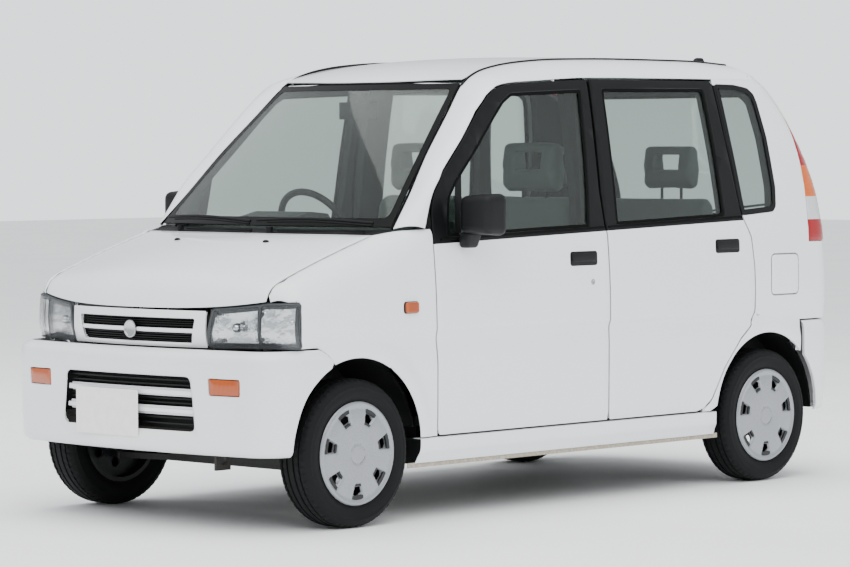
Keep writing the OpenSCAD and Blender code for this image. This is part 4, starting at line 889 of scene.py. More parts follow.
side = [(bumper_s(p[0], True), p[1]) for p in arc(FRONT_ARCH, ARCH_R, 205, 108, 40) if 268 < p[1] < 570]
side = sorted(side, key=lambda p: p[1])
half = [(0, 266), (side[0][0] - 2, 266)] + side + [(bumper_s(-1280, True), 588), (bumper_s(-1309, True), 616),
    (bumper_s(-1338, True), 630), (bumper_s(-1352, True), 635), (0, 635)]
front_rim = half[1:-1] + [(-p[0], p[1]) for p in half[1:-1][::-1]]
intake = rounded([(-347, 348), (347, 348), (325, 537), (-325, 537)], 22)
lamp_hole = rounded([(418, 477), (553, 477), (555, 536), (417, 537)], 7)
side_cols = spread(0, 310, 34) + spread(322, 376, 6) + spread(390, 547, 26) + spread(560, 780, 13) + spread(800, 990,
    26)
cols = [-c for c in side_cols[::-1]] + side_cols[1:]
zrows = [266, 270, 276, 282, 288, 300, 320, 328, 333, 338, 343, 348, 352, 380, 420, 460, 500, 530, 537, 542, 547, 552,
    557, 570, 590, 598, 606, 612, 618, 622, 626, 629, 632, 635]
panel("front_bumper_skin", front_rim, lambda u, v: bumper_point(u, v, True), "root", [bumper_white],
    ("front_bumper",),
    [intake, lamp_hole, [(-p[0], p[1]) for p in lamp_hole[::-1]]], us=cols, vs=zrows, thick=18, out=(0, -1, 0),
    roll=4)
for z0, z1, sink in ((407, 424, 10), (470, 489, 8)):
    w = 341 - (z0 - 348) * 0.115
    panel("intake_bar_%d" % z0, dense([(-w, z0), (w, z0), (w - 2, z1), (-w + 2, z1)], 40),
        lambda u, v, sink=sink: bumper_point(u, v, True, sink), "root", [bumper_white], (), (), us=spread(-w, w, 40),
        vs=spread(z0, z1, 5), thick=26, out=(0, -1, 0), roll=5)
panel("intake_back", dense([(-344, 350), (344, 350), (324, 535), (-324, 535)], 60),
    lambda u, v: bumper_point(u, v, True, 62), "root", [black_plastic], (), (), step=70, thick=3, out=(0, -1, 0),
    roll=0)
for z in (368, 388, 440, 455, 503, 520):
    w = 338 - (z - 348) * 0.115
    panel("intake_slat_%d" % z, dense([(-w, z), (w, z), (w, z + 5), (-w, z + 5)], 60),
        lambda u, v: bumper_point(u, v, True, 24), "root", [black_plastic], (), (), us=spread(-w, w, 60), vs=[z,
        z + 5], thick=20, out=(0, -1, 0), roll=0)
amber, s = material("amber_acrylic_indicator", "a84305", 0.14, Coat_Weight=0.4)
place = node(amber, "ShaderNodeTexCoord")
ribs = node(amber, "ShaderNodeTexWave", [("Vector", place, "Object")], Scale=55.0)
bump = node(amber, "ShaderNodeBump", [("Height", ribs, "Fac")], Strength=0.3, Distance=0.0012)
amber.node_tree.links.new(bump.outputs["Normal"], s.inputs["Normal"])
tone = node(amber, "ShaderNodeValToRGB", [("Fac", ribs, "Fac")])
tone.color_ramp.elements[0].color, tone.color_ramp.elements[1].color = linear("983c03"), linear("b85208")
amber.node_tree.links.new(tone.outputs["Color"], s.inputs["Base Color"])
for k, name in ((1, "left"), (-1, "right")):
    rim = grown(lamp_hole, -2.5)
    rim = rim if k > 0 else [(-p[0], p[1]) for p in rim[::-1]]
    panel("indicator_" + name, rim, lambda u, v: bumper_point(u, v, True, 1), "root", [amber], (), (), step=30,
        thick=14, out=(0, -1, 0), roll=3)
    rim = grown(lamp_hole, 0.5)
    rim = rim if k > 0 else [(-p[0], p[1]) for p in rim[::-1]]
    panel("indicator_bed_" + name, rim, lambda u, v: bumper_point(u, v, True, 12), "root", [black_plastic], (), (),
        step=40, thick=2, out=(0, -1, 0), roll=0)
side = [(bumper_s(p[0], False), p[1]) for p in arc(REAR_ARCH, ARCH_R, -8, 60, 24) if 264 < p[1] < 568 and p[0] > 1372]
side = sorted(side, key=lambda p: p[1])
half = [(side[0][0] - 2, 262)] + side + [(bumper_s(1378, False), 630)]
rear_rim = half + [(-p[0], p[1]) for p in half[::-1]]
panel("rear_bumper_skin", rear_rim, lambda u, v: bumper_point(u, v, False), "root", [bumper_white], ("rear_bumper",),
    (), us=cols, vs=[262, 266, 272, 279, 286, 300, 330, 380, 430, 480, 530, 570, 600, 606, 612, 617, 621, 626, 630],
    thick=18, out=(0, 1, 0), roll=4)

# ---- Number plates ----
# Blank pressed aluminium plates in white enamel with a raised rim, each on a black stay behind it.
plate_enamel, s = material("white_plate_enamel", "f2f2ef", 0.42)
grained(plate_enamel, s, 30, 0.03, ("efefec", "f5f5f2"))
for name, mid, z0, y, d in (("front", -82, 318, -1646.3, -1), ("rear", 0, 360, 1646.3, 1)):
    rim = rounded([(mid - 165, z0), (mid + 165, z0), (mid + 165, z0 + 165), (mid - 165, z0 + 165)], 9)
    edge = grown(rim, -9)

    def plate_at(u, v, y=y, d=d, edge=edge):
        lift = 1.2 if not inside(u, v, edge) else 0.0
        return u, y + d * (lift - 1.0), v
    panel("plate_" + name, rim, plate_at, "root", [plate_enamel], ("number_plates",) if d < 0 else (), (),
        us=spread(mid - 165, mid + 165, 16) + [mid - 156, mid - 154, mid + 154, mid + 156],
        vs=spread(z0, z0 + 165, 16) + [z0 + 9, z0 + 11, z0 + 154, z0 + 156], thick=2.5, out=(0, d, 0), roll=1.0)
    bead("plate_stay_" + name, [(mid - 60, y - d * 12, z0 + 30), (mid + 60, y - d * 12, z0 + 30)], 9, black_plastic,
        "root")

# ---- Grille ----
# White moulded surround with one bar across a dark slatted opening, and a plain bright disc in its middle.
opening = rounded([(-282, 650), (282, 650), (303, 738), (-303, 738)], 8)
grille_rim = rounded([(-347, 636), (347, 636), (349, 766), (-349, 766)], 5)
grille_cols = spread(-349, 349, 26)
panel("grille_surround", grille_rim, lambda x, z: (x, nose_y(x, z), min(z, 767 + 31 * (abs(x) / 590) ** 3)), "root",
    [bumper_white], ("grille",), [opening], us=grille_cols, vs=spread(636, 768, 11), thick=16, out=(0, -1, 0),
    roll=2.5)
panel("grille_bar", dense(rounded([(-292, 686), (292, 686), (296, 703), (-296, 703)], 3), 30),
    lambda x, z: (x, nose_y(x, z) + 4 + 0.06 * (z - 694) ** 2, z), "root", [bumper_white], (), (), us=spread(-292,
    292, 26), vs=spread(686, 703, 3), thick=12, out=(0, -1, 0), roll=2)
for z in (656, 664, 672, 680, 709, 717, 725, 733):
    panel("grille_slat_%d" % z, dense([(-296, z), (296, z), (296, z + 3), (-296, z + 3)], 60),
        lambda x, z: (x, nose_y(x, z) + 15, z), "root", [black_plastic], (), (), us=spread(-292, 292, 40), vs=[z,
        z + 3], thick=16, out=(0, -1, 0), roll=0)
panel("grille_back", dense([(-306, 645), (306, 645), (310, 742), (-310, 742)], 60),
    lambda x, z: (x, nose_y(x, z) + 40, z), "root", [seal_rubber], (), (), step=70, thick=3, out=(0, -1, 0), roll=0)
chrome, s = material("bright_nickel_plate", "c9ccce", 0.14, 1.0)
grained(chrome, s, 25, 0.02, rough=(0.1, 0.2))
bpy.ops.object.select_all(action="DESELECT")
bpy.ops.mesh.primitive_cylinder_add(vertices=64, radius=0.031, depth=0.008, location=(0, 0, 0), rotation=(math.pi / 2,
    0, 0))
badge = bpy.context.object
badge.name = "grille_disc"
bpy.ops.object.mode_set(mode="EDIT")
bpy.ops.mesh.select_mode(type="FACE")
bpy.ops.mesh.select_all(action="DESELECT")
bpy.ops.object.mode_set(mode="OBJECT")
for f in badge.data.polygons:
    f.select = len(f.vertices) > 4
bpy.ops.object.mode_set(mode="EDIT")
bpy.ops.mesh.inset(thickness=0.005, depth=0)
bpy.ops.mesh.inset(thickness=0.0012, depth=-0.003)
bpy.ops.object.mode_set(mode="OBJECT")
badge.location = (0, -1.6045, 0.695)
bpy.ops.object.transform_apply(location=True, rotation=True, scale=True)
edge = badge.modifiers.new("edge", "BEVEL")
edge.width, edge.segments, edge.limit_method = 0.001, 2, "ANGLE"
bpy.ops.object.modifier_apply(modifier="edge")
badge.data.materials.append(chrome)
finish_piece(badge, 0, 40)
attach(badge, "root")

# ---- Front lamps ----
# Clear ribbed glass over a bright bowl, with the corner lamp under the same cover beyond a dark dividing bar.
lens, s = material("clear_ribbed_lens", "fbfcfd", 0.03, Transmission_Weight=1.0, IOR=1.4)
place = node(lens, "ShaderNodeTexCoord")
ribs = node(lens, "ShaderNodeTexWave", [("Vector", place, "Object")], Scale=34.0)
bump = node(lens, "ShaderNodeBump", [("Height", ribs, "Fac")], Strength=0.16, Distance=0.0015)
lens.node_tree.links.new(bump.outputs["Normal"], s.inputs["Normal"])
bowl, s = material("vacuum_aluminised_bowl", "dfe2e4", 0.2, 0.9)
grained(bowl, s, 26, 0.9, distance=0.006, rough=(0.12, 0.3))
LAMP_X, LAMP_FOOT = 352, 637


def lamp_line(z, sink):
    x1 = NOSE_X
    y1 = nose_y(x1, z) + NOSE_CORNER
    pts = [(x, nose_y(x, z) + sink) for x in (LAMP_X, 400, 450, 500, 550, x1)]
    pts += [(x1 + (NOSE_CORNER - sink) * math.cos(math.radians(a)),
        y1 - (NOSE_CORNER - sink) * math.sin(math.radians(a)))
        for a in (78, 66, 54, 42, 30, 17.5)]
    return pts


LAMP_S = [0, 48, 98, 148, 198, NOSE_X - LAMP_X] + [NOSE_X - LAMP_X + NOSE_CORNER * math.radians(90 - a)
    for a in (78, 66, 54, 42, 30, 17.5)]


def lamp_point(s, t, sink=0):
    i = 0
    while i < len(LAMP_S) - 2 and s > LAMP_S[i + 1]:
        i += 1
    f = (s - LAMP_S[i]) / (LAMP_S[i + 1] - LAMP_S[i])
    x0 = LAMP_X + s
    top = 773 + 31 * min(1, abs(x0) / 590) ** 3 - 6.5
    z = LAMP_FOOT + t * (top - LAMP_FOOT)
    line = lamp_line(z, sink)
    a, b = line[i], line[i + 1]
    return a[0] + f * (b[0] - a[0]), a[1] + f * (b[1] - a[1]), z


END = LAMP_S[-1] - 1
lamp_outline = rounded([(0, 0, 14), (END, 0, 18), (END, 160, 18), (22, 160, 30), (0, 60, 60)], 16)
split = 206
lamp_frame, s = material("dark_grey_moulded_frame", "3c3f42", 0.45)
grained(lamp_frame, s, 2, 0.1, ("383b3e", "414447"))
for side, k in (("left", 1), ("right", -1)):
    cols = spread(0, END, 9)
    main_hole = rounded([(9, 8), (split - 3, 8), (split - 3, 152), (30, 152)], 15)
    side_hole = rounded([(split + 4, 8), (END - 8, 8), (END - 8, 152), (split + 4, 152)], 13)
    for name, rim in (("lamp_lens_", main_hole), ("corner_lens_", side_hole)):
        panel(name + side, grown(rim, 1), lambda s_, t, k=k: (k * lamp_point(s_, t / 160, 1)[0],)
            + lamp_point(s_, t / 160, 1)[1:], "root", [lens], ("front_lamps",) if k > 0 else (), (), us=cols,
            vs=spread(0, 160, 16), thick=3, out=(k * 0.4, -1, 0), roll=0)
    panel("lamp_case_" + side, lamp_outline, lambda s_, t, k=k: (k * lamp_point(s_, t / 160, 0)[0],)
        + lamp_point(s_, t / 160, 0)[1:], "root", [lamp_frame], (), [main_hole, side_hole], us=cols,
        vs=spread(0, 160, 16), thick=20, out=(k * 0.4, -1, 0), roll=2.5)
    # bowls: the main one dished, the corner one flat and ribbed

    def bowl_at(s_, t, k=k):
        f = min(1.0, abs(s_ - 100) / 100) if s_ < split else min(1.0,
            abs(s_ - (split + END) / 2) / ((END - split) / 2))
        g = abs(t - 80) / 80
        deep = 9 + (44 if s_ < split else 20) * math.sqrt(max(0, 1 - max(f,
            g * 0.9) ** 2.2)) + (1.5 if int(s_ / 7) % 2 else 0)
        p = lamp_point(s_, t / 160, deep)
        return k * p[0], p[1], p[2]
    panel("lamp_bowl_" + side, [(2, 2), (END - 2, 2), (END - 2, 158), (2, 158)], bowl_at, "root", [bowl], (), (),
        us=spread(2, END - 2, 7), vs=spread(2, 158, 10), thick=1.5, out=(k * 0.4, -1, 0), roll=0)
    bpy.ops.object.select_all(action="DESELECT")
    p = lamp_point(100, 0.5, 34)
    bpy.ops.mesh.primitive_uv_sphere_add(segments=32, ring_count=16, radius=0.017, location=(k * p[0] / 1000,
        p[1] / 1000, p[2] / 1000))
    bulb = bpy.context.object
    bulb.name = "lamp_bulb_shade_" + side
    bulb.scale = (1, 1.3, 1)
    bpy.ops.object.transform_apply(location=True, rotation=True, scale=True)
    bulb.data.materials.append(chrome)
    bpy.ops.object.shade_smooth()
    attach(bulb, "root")

# ---- Back door ----
# Side-hinged door with a large bonded glass in a white frame, a grey inner trim, a black handle and a rear wiper arm.
WINDOW = [(-470, 1040, 30), (-450, 1020, 30), (450, 1020, 30), (470, 1040, 30), (462, 1400), (440, 1530, 30),
    (415, 1556, 30), (-415, 1556, 30), (-440, 1530, 30), (-462, 1400)]
gate_rim, gate_hole = dense(rounded(GATE, 0), 60), rounded(WINDOW, 0)
grid_x = spread(-560, 560, 45)
panel("back_door_skin", gate_rim, lambda x, z: (x, rear_y(x, z), z), "back_door", [white], ("back_door",),
    [gate_hole], us=grid_x, vs=spread(636, 1634, 36), thick=14, out=(0, 1, 0), roll=3)
panel("back_door_trim", rounded(grown(GATE, -28), 0), lambda x, z: (x, rear_y(x, z) - 14.5, z), "back_door",
    [trim_grey], (), [grown(gate_hole, 2)], step=60, thick=30, out=(0, 1, 0), roll=0)
panel("back_door_pane", grown(gate_hole, -1.5), lambda x, z: (x, rear_y(x, z) - 2, z), "back_door", [glass],
    ("back_door_glass",), (), step=50, thick=4, out=(0, 1, 0), roll=0)
panel("back_door_band", grown(gate_hole, -1), lambda x, z: (x, rear_y(x, z) - 1.2, z), "back_door", [ceramic], (),
    [rounded(grown(WINDOW, -30), 20)], step=50, thick=1, out=(0, 1, 0), roll=0)
panel("back_door_handle_bed", rounded([(330, 940), (470, 940), (470, 985), (330, 985)], 10),
    lambda x, z: (x, rear_y(x, z) + 1, z), "back_door", [black_plastic], (), (), step=20, thick=2, out=(0, 1, 0),
    roll=1)
bead("back_door_handle", [(x, rear_y(x, 962) + 7 - ((x - 400) / 30) ** 4 * 0.25, 962) for x in spread(345, 455, 8)],
    8, black_plastic, "back_door")
bead("rear_wiper_arm", [(x, rear_y(x, 1050 + (x + 40) * 0.1) + 9, 1050 + (x + 40) * 0.1) for x in spread(-40, 330,
    25)], 5, black_plastic, "back_door")

# ---- Sills ----
# Pressed strips under the doors with a rounded top step; below them the floor's beige flange shows.
sill_out = curve_of([(204, 664), (225, 673), (250, 684.5), (280, 686.2), (292, 686.2)])


def sill_point(y, v):
    if v <= 288:
        return sill_out(v), y, v
    a = min(1, (v - 288) / 8) * math.pi / 2
    return 681.2 + 5 * math.cos(a) - max(0, v - 296), y, 289.6 + 5 * math.sin(a)


for side, k in (("left", 1), ("right", -1)):
    panel("sill_skin_" + side, dense([(-847, 204), (-838, 260), (-838, 330), (831, 330), (831, 260), (839, 204)], 60),
        lambda y, v, k=k: (k * sill_point(y, v)[0],) + sill_point(y, v)[1:], "root", [white], (), (),
        us=spread(-840, 835, 80), vs=[204, 215, 226, 238, 246, 252, 260, 270, 280, 288, 290, 292, 294, 296, 310, 330],
        thick=3, out=(k, 0, 0), roll=1)
primer, s = material("beige_sill_sealer", "a89f8e", 0.7)
grained(primer, s, 8, 0.4, ("978e7d", "b5ad9d"), distance=0.001)
carried(["sills"], black_plastic)
for side, k in (("left", 1), ("right", -1)):
    panel("sill_flange_" + side, [(-880, 189), (865, 189), (865, 207), (-880, 207)], lambda y, v, k=k: (k * 661, y,
        v), "root", [primer], (), (), us=spread(-880, 865, 90), vs=[189, 198, 207], thick=4, out=(k, 0, 0), roll=0)

# ---- Wheels ----
# Steel rims behind silver painted covers of moulded ABS with seven bevelled windows near the edge.
cover_silver, s = material("silver_painted_abs", "96999d", 0.34, 0.5, Coat_Weight=0.35, Coat_Roughness=0.25)
grained(cover_silver, s, 3, 0.05, ("909397", "9da0a4"), distance=0.0002)
rim_black, s = material("black_stoved_steel", "1c1d1f", 0.5)
grained(rim_black, s, 10, 0.15, ("17181a", "232426"))
WHEELS = [("front", "left", FRONT_HUB, 1), ("front", "right", FRONT_HUB, -1), ("rear", "left", REAR_HUB, 1),
    ("rear", "right", REAR_HUB, -1)]
carried([a + "_wheel_" + b for a, b, y, k in WHEELS], rim_black)
cover_face = curve_of([(0, 1.2), (28, 1.2), (30, 0.9), (33, -0.6), (36, -0.4), (40, 1.4), (80, 2.2), (112, 2.2),
    (148, 0.6), (158, -0.6), (166, 0.2), (172, 2.4), (177, 2.2), (181, -0.5), (183, -5)])


def cover_depth(u, v):
    r = math.hypot(u, v)
    a = math.degrees(math.atan2(u, -v)) % (360 / 7)
    a = min(a, 360 / 7 - a)
    off = math.radians(a) * r
    d = max((103 - r) / 8, (off - (17 + (r - 110) * 0.27)) / 6, (r - 163) / 7)
    return cover_face(r) - 11 * (1 - smooth(min(1, max(0, d + 1)))) if 96 < r < 164 else cover_face(r)


cover_rim = [(183 * math.cos(math.radians(a)), 183 * math.sin(math.radians(a))) for a in range(0, 360, 3)]
windows = []
for n in range(7):
    t = 2 * math.pi * n / 7
    windows.append(rounded([(r * math.sin(t) + w * math.cos(t), -r * math.cos(t) + w * math.sin(t)) for r, w in
        ((116, -14), (116, 14), (137, 20), (148, 8), (148, -8), (137, -20))], 3))
for end, side, hub, k in WHEELS:
    panel("cover_%s_%s" % (end, side), cover_rim, lambda u, v, k=k, hub=hub: (k * (TYRE_X + 72 + cover_depth(u, v)),
        hub + u, HUB_Z + v), "%s_wheel_%s" % (end, side), [cover_silver], (), windows,
        us=spread(-182, 182, 4.5), vs=spread(-182, 182, 4.5), thick=5, out=(k, 0, 0), roll=0,
        angle=60)

# ---- Tyres ----
# Black radial tyres: four grooves round the tread, cross sipes at its shoulders and two moulded rings on each wall.
tyre_black, s = material("black_tyre_rubber", "0d0e0f", 0.75, Specular_IOR_Level=0.25)
grained(tyre_black, s, 2.2, 0.2, ("0b0c0d", "101112"), rough=(0.65, 0.8))
half_section = [(46, 166.5, 0), (60, 166.5, 0), (61, 178, 0), (66, 188, 0), (69.5, 194, 0), (70.5, 196, 0), (70.6,
    198, 0),
    (71.5, 200, 0), (74.2, 211, 0), (74.6, 222, 0), (73.4, 230, 0), (74.2, 232, 0), (74.2, 234, 0), (72.6, 236, 0),
    (69.5, 243, 0), (66.5, 248, 1), (63, 252, 2), (58, 256, 3), (53, 258.6, 3), (47, 260.2, 3), (44, 260.6, 0),
    (43.4, 254, 0), (37.4, 254, 0), (36.8, 261.3, 4), (28, 261.7, 4), (19, 261.9, 0), (18.4, 255, 0), (11.6, 255, 0),
    (11, 262, 0), (0, 262, 0)]
section = half_section + [(-x, r, m) for x, r, m in half_section[-2::-1]]
AROUND = 240
for end, side, hub, k in WHEELS:
    bm = bmesh.new()
    rings = []
    for j in range(AROUND):
        a = 2 * math.pi * j / AROUND
        ring = []
        for x, r, m in section:
            cut = 0
            if m in (1, 2, 3) and j % 4 == 0:
                cut = (0.8, 2.2, 4.0)[m - 1]
            if m == 4 and (j + 2) % 4 == 0:
                cut = 3
            ring.append(bm.verts.new(((TYRE_X * k + x) / 1000, (hub + (r - cut) * math.cos(a)) / 1000,
                (HUB_Z + (r - cut) * math.sin(a)) / 1000)))
        rings.append(ring)
    for j in range(AROUND):
        a, b = rings[j], rings[(j + 1) % AROUND]
        for i in range(len(section)):
            n = (i + 1) % len(section)
            bm.faces.new((a[i], a[n], b[n], b[i]))
    bmesh.ops.recalc_face_normals(bm, faces=bm.faces[:])
    mesh = bpy.data.meshes.new("tyre_%s_%s" % (end, side))
    bm.to_mesh(mesh)
    bm.free()
    tyre = bpy.data.objects.new(mesh.name, mesh)
    bpy.context.scene.collection.objects.link(tyre)
    mesh.materials.append(tyre_black)
    finish_piece(tyre, 0, 32)
    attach(tyre, "%s_wheel_%s" % (end, side))
    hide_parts("%s_tyre_%s" % (end, side))

# ---- Door mirrors ----
# Rounded black housings of moulded polypropylene on short feet, each with a silvered glass facing back.
silvered, s = material("silvered_mirror_glass", "c4c9cc", 0.03, 1.0)
grained(silvered, s, 60, 0.003, rough=(0.02, 0.05))
for side, k in (("left", 1), ("right", -1)):
    bpy.ops.object.select_all(action="DESELECT")
    bpy.ops.mesh.primitive_cube_add(size=1, location=(0, 0, 0))
    shell = bpy.context.object
    shell.name = "door_mirror_housing_" + side
    shell.scale = (0.166, 0.104, 0.156)
    bpy.ops.object.transform_apply(location=False, rotation=False, scale=True)
    for v in shell.data.vertices:
        if v.co.y < 0:
            v.co.x *= 0.88
            v.co.z *= 0.9
        if v.co.x < 0:
            v.co.z *= 0.93
    soft = shell.modifiers.new("soft", "BEVEL")
    soft.width, soft.segments, soft.profile = 0.03, 6, 0.55
    bpy.ops.object.modifier_apply(modifier="soft")
    bpy.ops.object.mode_set(mode="EDIT")
    bpy.ops.mesh.select_mode(type="FACE")
    bpy.ops.mesh.select_all(action="DESELECT")
    bpy.ops.object.mode_set(mode="OBJECT")
    for f in shell.data.polygons:
        f.select = f.normal.y > 0.98
    bpy.ops.object.mode_set(mode="EDIT")
    bpy.ops.mesh.inset(thickness=0.0005, depth=0)
    bpy.ops.mesh.inset(thickness=0.002, depth=-0.012)
    bpy.ops.object.mode_set(mode="OBJECT")
    shell.data.materials.append(black_plastic)
    shell.data.materials.append(silvered)
    for f in shell.data.polygons:
        if f.select:
            f.material_index = 1
    shell.location = (k * 0.7865, -0.622, 1.089)
    shell.scale = (k, 1, 1)
    bpy.ops.object.transform_apply(location=True, rotation=True, scale=True)
    if k < 0:
        bpy.ops.object.mode_set(mode="EDIT")
        bpy.ops.mesh.select_all(action="SELECT")
        bpy.ops.mesh.normals_make_consistent(inside=False)
        bpy.ops.object.mode_set(mode="OBJECT")
    finish_piece(shell, 0, 35)
    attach(shell, "front_door_" + side)
    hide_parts("door_mirror_" + side)
    bpy.ops.object.select_all(action="DESELECT")
    bpy.ops.mesh.primitive_cube_add(size=1, location=(0, 0, 0))
    foot = bpy.context.object
    foot.name = "door_mirror_foot_" + side
    foot.scale = (0.062, 0.072, 0.056)
    bpy.ops.object.transform_apply(location=False, rotation=False, scale=True)
    for v in foot.data.vertices:
        if v.co.z < 0:
            v.co.x = v.co.x * 0.7 - 0.008
            v.co.y *= 0.8
    soft = foot.modifiers.new("soft", "BEVEL")
    soft.width, soft.segments = 0.011, 4
    bpy.ops.object.modifier_apply(modifier="soft")
    foot.location = (k * 0.7285, -0.623, 0.997)
    foot.scale = (k, 1, 1)
    bpy.ops.object.transform_apply(location=True, rotation=True, scale=True)
    if k < 0:
        bpy.ops.object.mode_set(mode="EDIT")
        bpy.ops.mesh.select_all(action="SELECT")
        bpy.ops.mesh.normals_make_consistent(inside=False)
        bpy.ops.object.mode_set(mode="OBJECT")
    foot.data.materials.append(black_plastic)
    finish_piece(foot, 0, 35)
    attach(foot, "front_door_" + side)

# ---- Door handles, lock and side repeaters ----
# Black pull handles standing in shallow dished cups, a bright lock barrel below the front one and an amber repeater
# on each wing.
for side, k in (("left", 1), ("right", -1)):
    for body, y0, y1, z0, z1 in (("front_door_", -42, 112, 886, 940), ("rear_door_", 816, 966, 912, 966)):
        cup = rounded([(y0, z0), (y1, z0), (y1, z1), (y0, z1)], 13)
        panel("handle_cup_" + body + side, cup, lambda u, v, k=k: (k * (side_x(u, v) + 0.8), u, v), body + side,
            [black_plastic], (), (), step=22, thick=2, out=(k, 0, 0), roll=1)
        pull = rounded([(y0 + 7, z0 + 14), (y1 - 7, z0 + 14), (y1 - 5, z1 - 6), (y0 + 5, z1 - 6)], 9)

        def pull_at(u, v, k=k, y0=y0, y1=y1, z0=z0, z1=z1):
            bow = 9.5 - 4.5 * ((u - (y0 + y1) / 2) / ((y1 - y0) / 2)) ** 4
            return k * (side_x(u, v) + bow - 3 * ((v - (z0 + z1) / 2 - 4) / 22) ** 2), u, v
        panel("handle_pull_" + body + side, pull, pull_at, body + side, [black_plastic], (), (), us=spread(y0, y1, 9),
            vs=spread(z0, z1, 5), thick=6, out=(k, 0, 0), roll=3.5)
    key = [(84 + 11 * math.cos(math.radians(a)), 824 + 11 * math.sin(math.radians(a))) for a in range(0, 360, 12)]
    panel("lock_barrel_" + side, key, lambda u, v, k=k: (k * (side_x(u, v) + 2.2 - (1.6 if abs(u - 84) < 1.6 and
        abs(v - 824) < 5 else 0)), u, v), "front_door_" + side, [chrome], (), (), us=spread(72, 96, 1.5),
        vs=spread(812, 836, 2), thick=3, out=(k, 0, 0), roll=1.2)
    mark = rounded([(-931, 745), (-862, 745), (-862, 783), (-931, 783)], 9)
    panel("side_repeater_" + side, mark, lambda u, v, k=k: (k * (side_x(u, v) + 12 - 3 * ((u + 896) / 34) ** 4), u,
        v),
        "root", [amber], (), (), us=spread(-931, -862, 6), vs=spread(745, 783, 6), thick=11, out=(k, 0, 0), roll=4)
    panel("side_repeater_seat_" + side, grown(mark, 2.5), lambda u, v, k=k: (k * (side_x(u, v) + 1.2), u, v), "root",
        [black_plastic], (), (), step=20, thick=2, out=(k, 0, 0), roll=0)

# ---- Seats ----
# Foam seats in grey woven cloth; the headrests have a rectangular opening through them. Foam and cover are drawn tight,
# so each block is blown up a little from its cut shape.
cloth, s = material("grey_woven_seat_cloth", "6c7674", 0.92, Sheen_Weight=0.25, Sheen_Roughness=0.5)
place = node(cloth, "ShaderNodeTexCoord")
across = node(cloth, "ShaderNodeTexWave", [("Vector", place, "Object")], Scale=95.0, Distortion=1.5)
fleck = node(cloth, "ShaderNodeTexNoise", [("Vector", place, "Object")], Scale=330.0, Detail=2.0)
both = node(cloth, "ShaderNodeMath", [(0, across, "Fac"), (1, fleck, "Fac")], operation="MULTIPLY")
bump = node(cloth, "ShaderNodeBump", [("Height", both, 0)], Strength=0.3, Distance=0.001)
cloth.node_tree.links.new(bump.outputs["Normal"], s.inputs["Normal"])
ramp = node(cloth, "ShaderNodeValToRGB", [("Fac", fleck, "Fac")])
ramp.color_ramp.elements[0].position, ramp.color_ramp.elements[1].position = 0.38, 0.62
ramp.color_ramp.elements[0].color, ramp.color_ramp.elements[1].color = linear("5c6664"), linear("717b79")
cloth.node_tree.links.new(ramp.outputs["Color"], s.inputs["Base Color"])


def foam(name, side_line, x0, x1, body, cap, hole=None, replaces=()):
    """Cushion: its side outline drawn across the car, blown up by the cloth solver and capped to a real bulge."""
    bpy.ops.object.select_all(action="DESELECT")
    bm = bmesh.new()
    ends = [[bm.verts.new((x / 1000, y / 1000, z / 1000)) for y, z in side_line] for x in (x0, x1)]
    bm.faces.new(ends[0])
    bm.faces.new(ends[1][::-1])
    for i in range(len(side_line)):
        j = (i + 1) % len(side_line)
        bm.faces.new((ends[0][j], ends[0][i], ends[1][i], ends[1][j]))
    bmesh.ops.recalc_face_normals(bm, faces=bm.faces[:])
    mesh = bpy.data.meshes.new(name)
    bm.to_mesh(mesh)
    bm.free()
    pad = bpy.data.objects.new(name, mesh)
    bpy.context.scene.collection.objects.link(pad)
    pad.select_set(True)
    bpy.context.view_layer.objects.active = pad
    edge = pad.modifiers.new("edge", "BEVEL")
    edge.width, edge.segments, edge.limit_method, edge.angle_limit = min(0.035, (x1 - x0) / 6000), 4, "ANGLE", 0.9
    bpy.ops.object.modifier_apply(modifier="edge")
    if hole:
        bpy.ops.object.select_all(action="DESELECT")
        bpy.ops.mesh.primitive_cube_add(size=1, location=((x0 + x1) / 2000, hole[2] / 1000,
            (hole[0] + hole[1]) / 2000))
        tool = bpy.context.object
        tool.scale = (hole[3] / 1000, 0.4, (hole[1] - hole[0]) / 1000)
        bpy.ops.object.transform_apply(location=True, rotation=True, scale=True)
        bpy.ops.object.select_all(action="DESELECT")
        pad.select_set(True)
        bpy.context.view_layer.objects.active = pad
        cut = pad.modifiers.new("cut", "BOOLEAN")
        cut.operation, cut.object, cut.solver = "DIFFERENCE", tool, "EXACT"
        bpy.ops.object.modifier_apply(modifier="cut")
        bpy.data.objects.remove(tool, do_unlink=True)
    net = pad.modifiers.new("net", "REMESH")
    net.mode, net.voxel_size = "VOXEL", 0.006 if hole else 0.010
    bpy.ops.object.modifier_apply(modifier="net")
    start = [v.co.copy() for v in pad.data.vertices]
    solver = pad.modifiers.new("solver", "CLOTH")
    solver.settings.use_pressure = True
    solver.settings.uniform_pressure_force = 4.0
    solver.settings.effector_weights.gravity = 0.0
    solver.settings.quality = 4
    solver.point_cache.frame_start, solver.point_cache.frame_end = 1, 20
    for frame_no in range(1, 21):
        bpy.context.scene.frame_set(frame_no)
    bpy.ops.object.modifier_apply(modifier="solver")
    bpy.context.scene.frame_set(1)
    for v, p in zip(pad.data.vertices, start):
        d = v.co - p
        if d.length > cap / 1000:
            v.co = p + d * (cap / 1000 / d.length)
    relax = pad.modifiers.new("relax", "SMOOTH")
    relax.factor, relax.iterations = 0.5, 3
    bpy.ops.object.modifier_apply(modifier="relax")
    fine = pad.modifiers.new("fine", "SUBSURF")
    fine.levels = fine.render_levels = 1
    if hole:
        bpy.ops.object.modifier_apply(modifier="fine")
    else:
        pad.modifiers.remove(fine)
    pad.data.materials.clear()
    pad.data.materials.append(cloth)
    bpy.ops.object.shade_smooth()
    pad.select_set(False)
    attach(pad, body)
    if replaces:
        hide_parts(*replaces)
    return pad


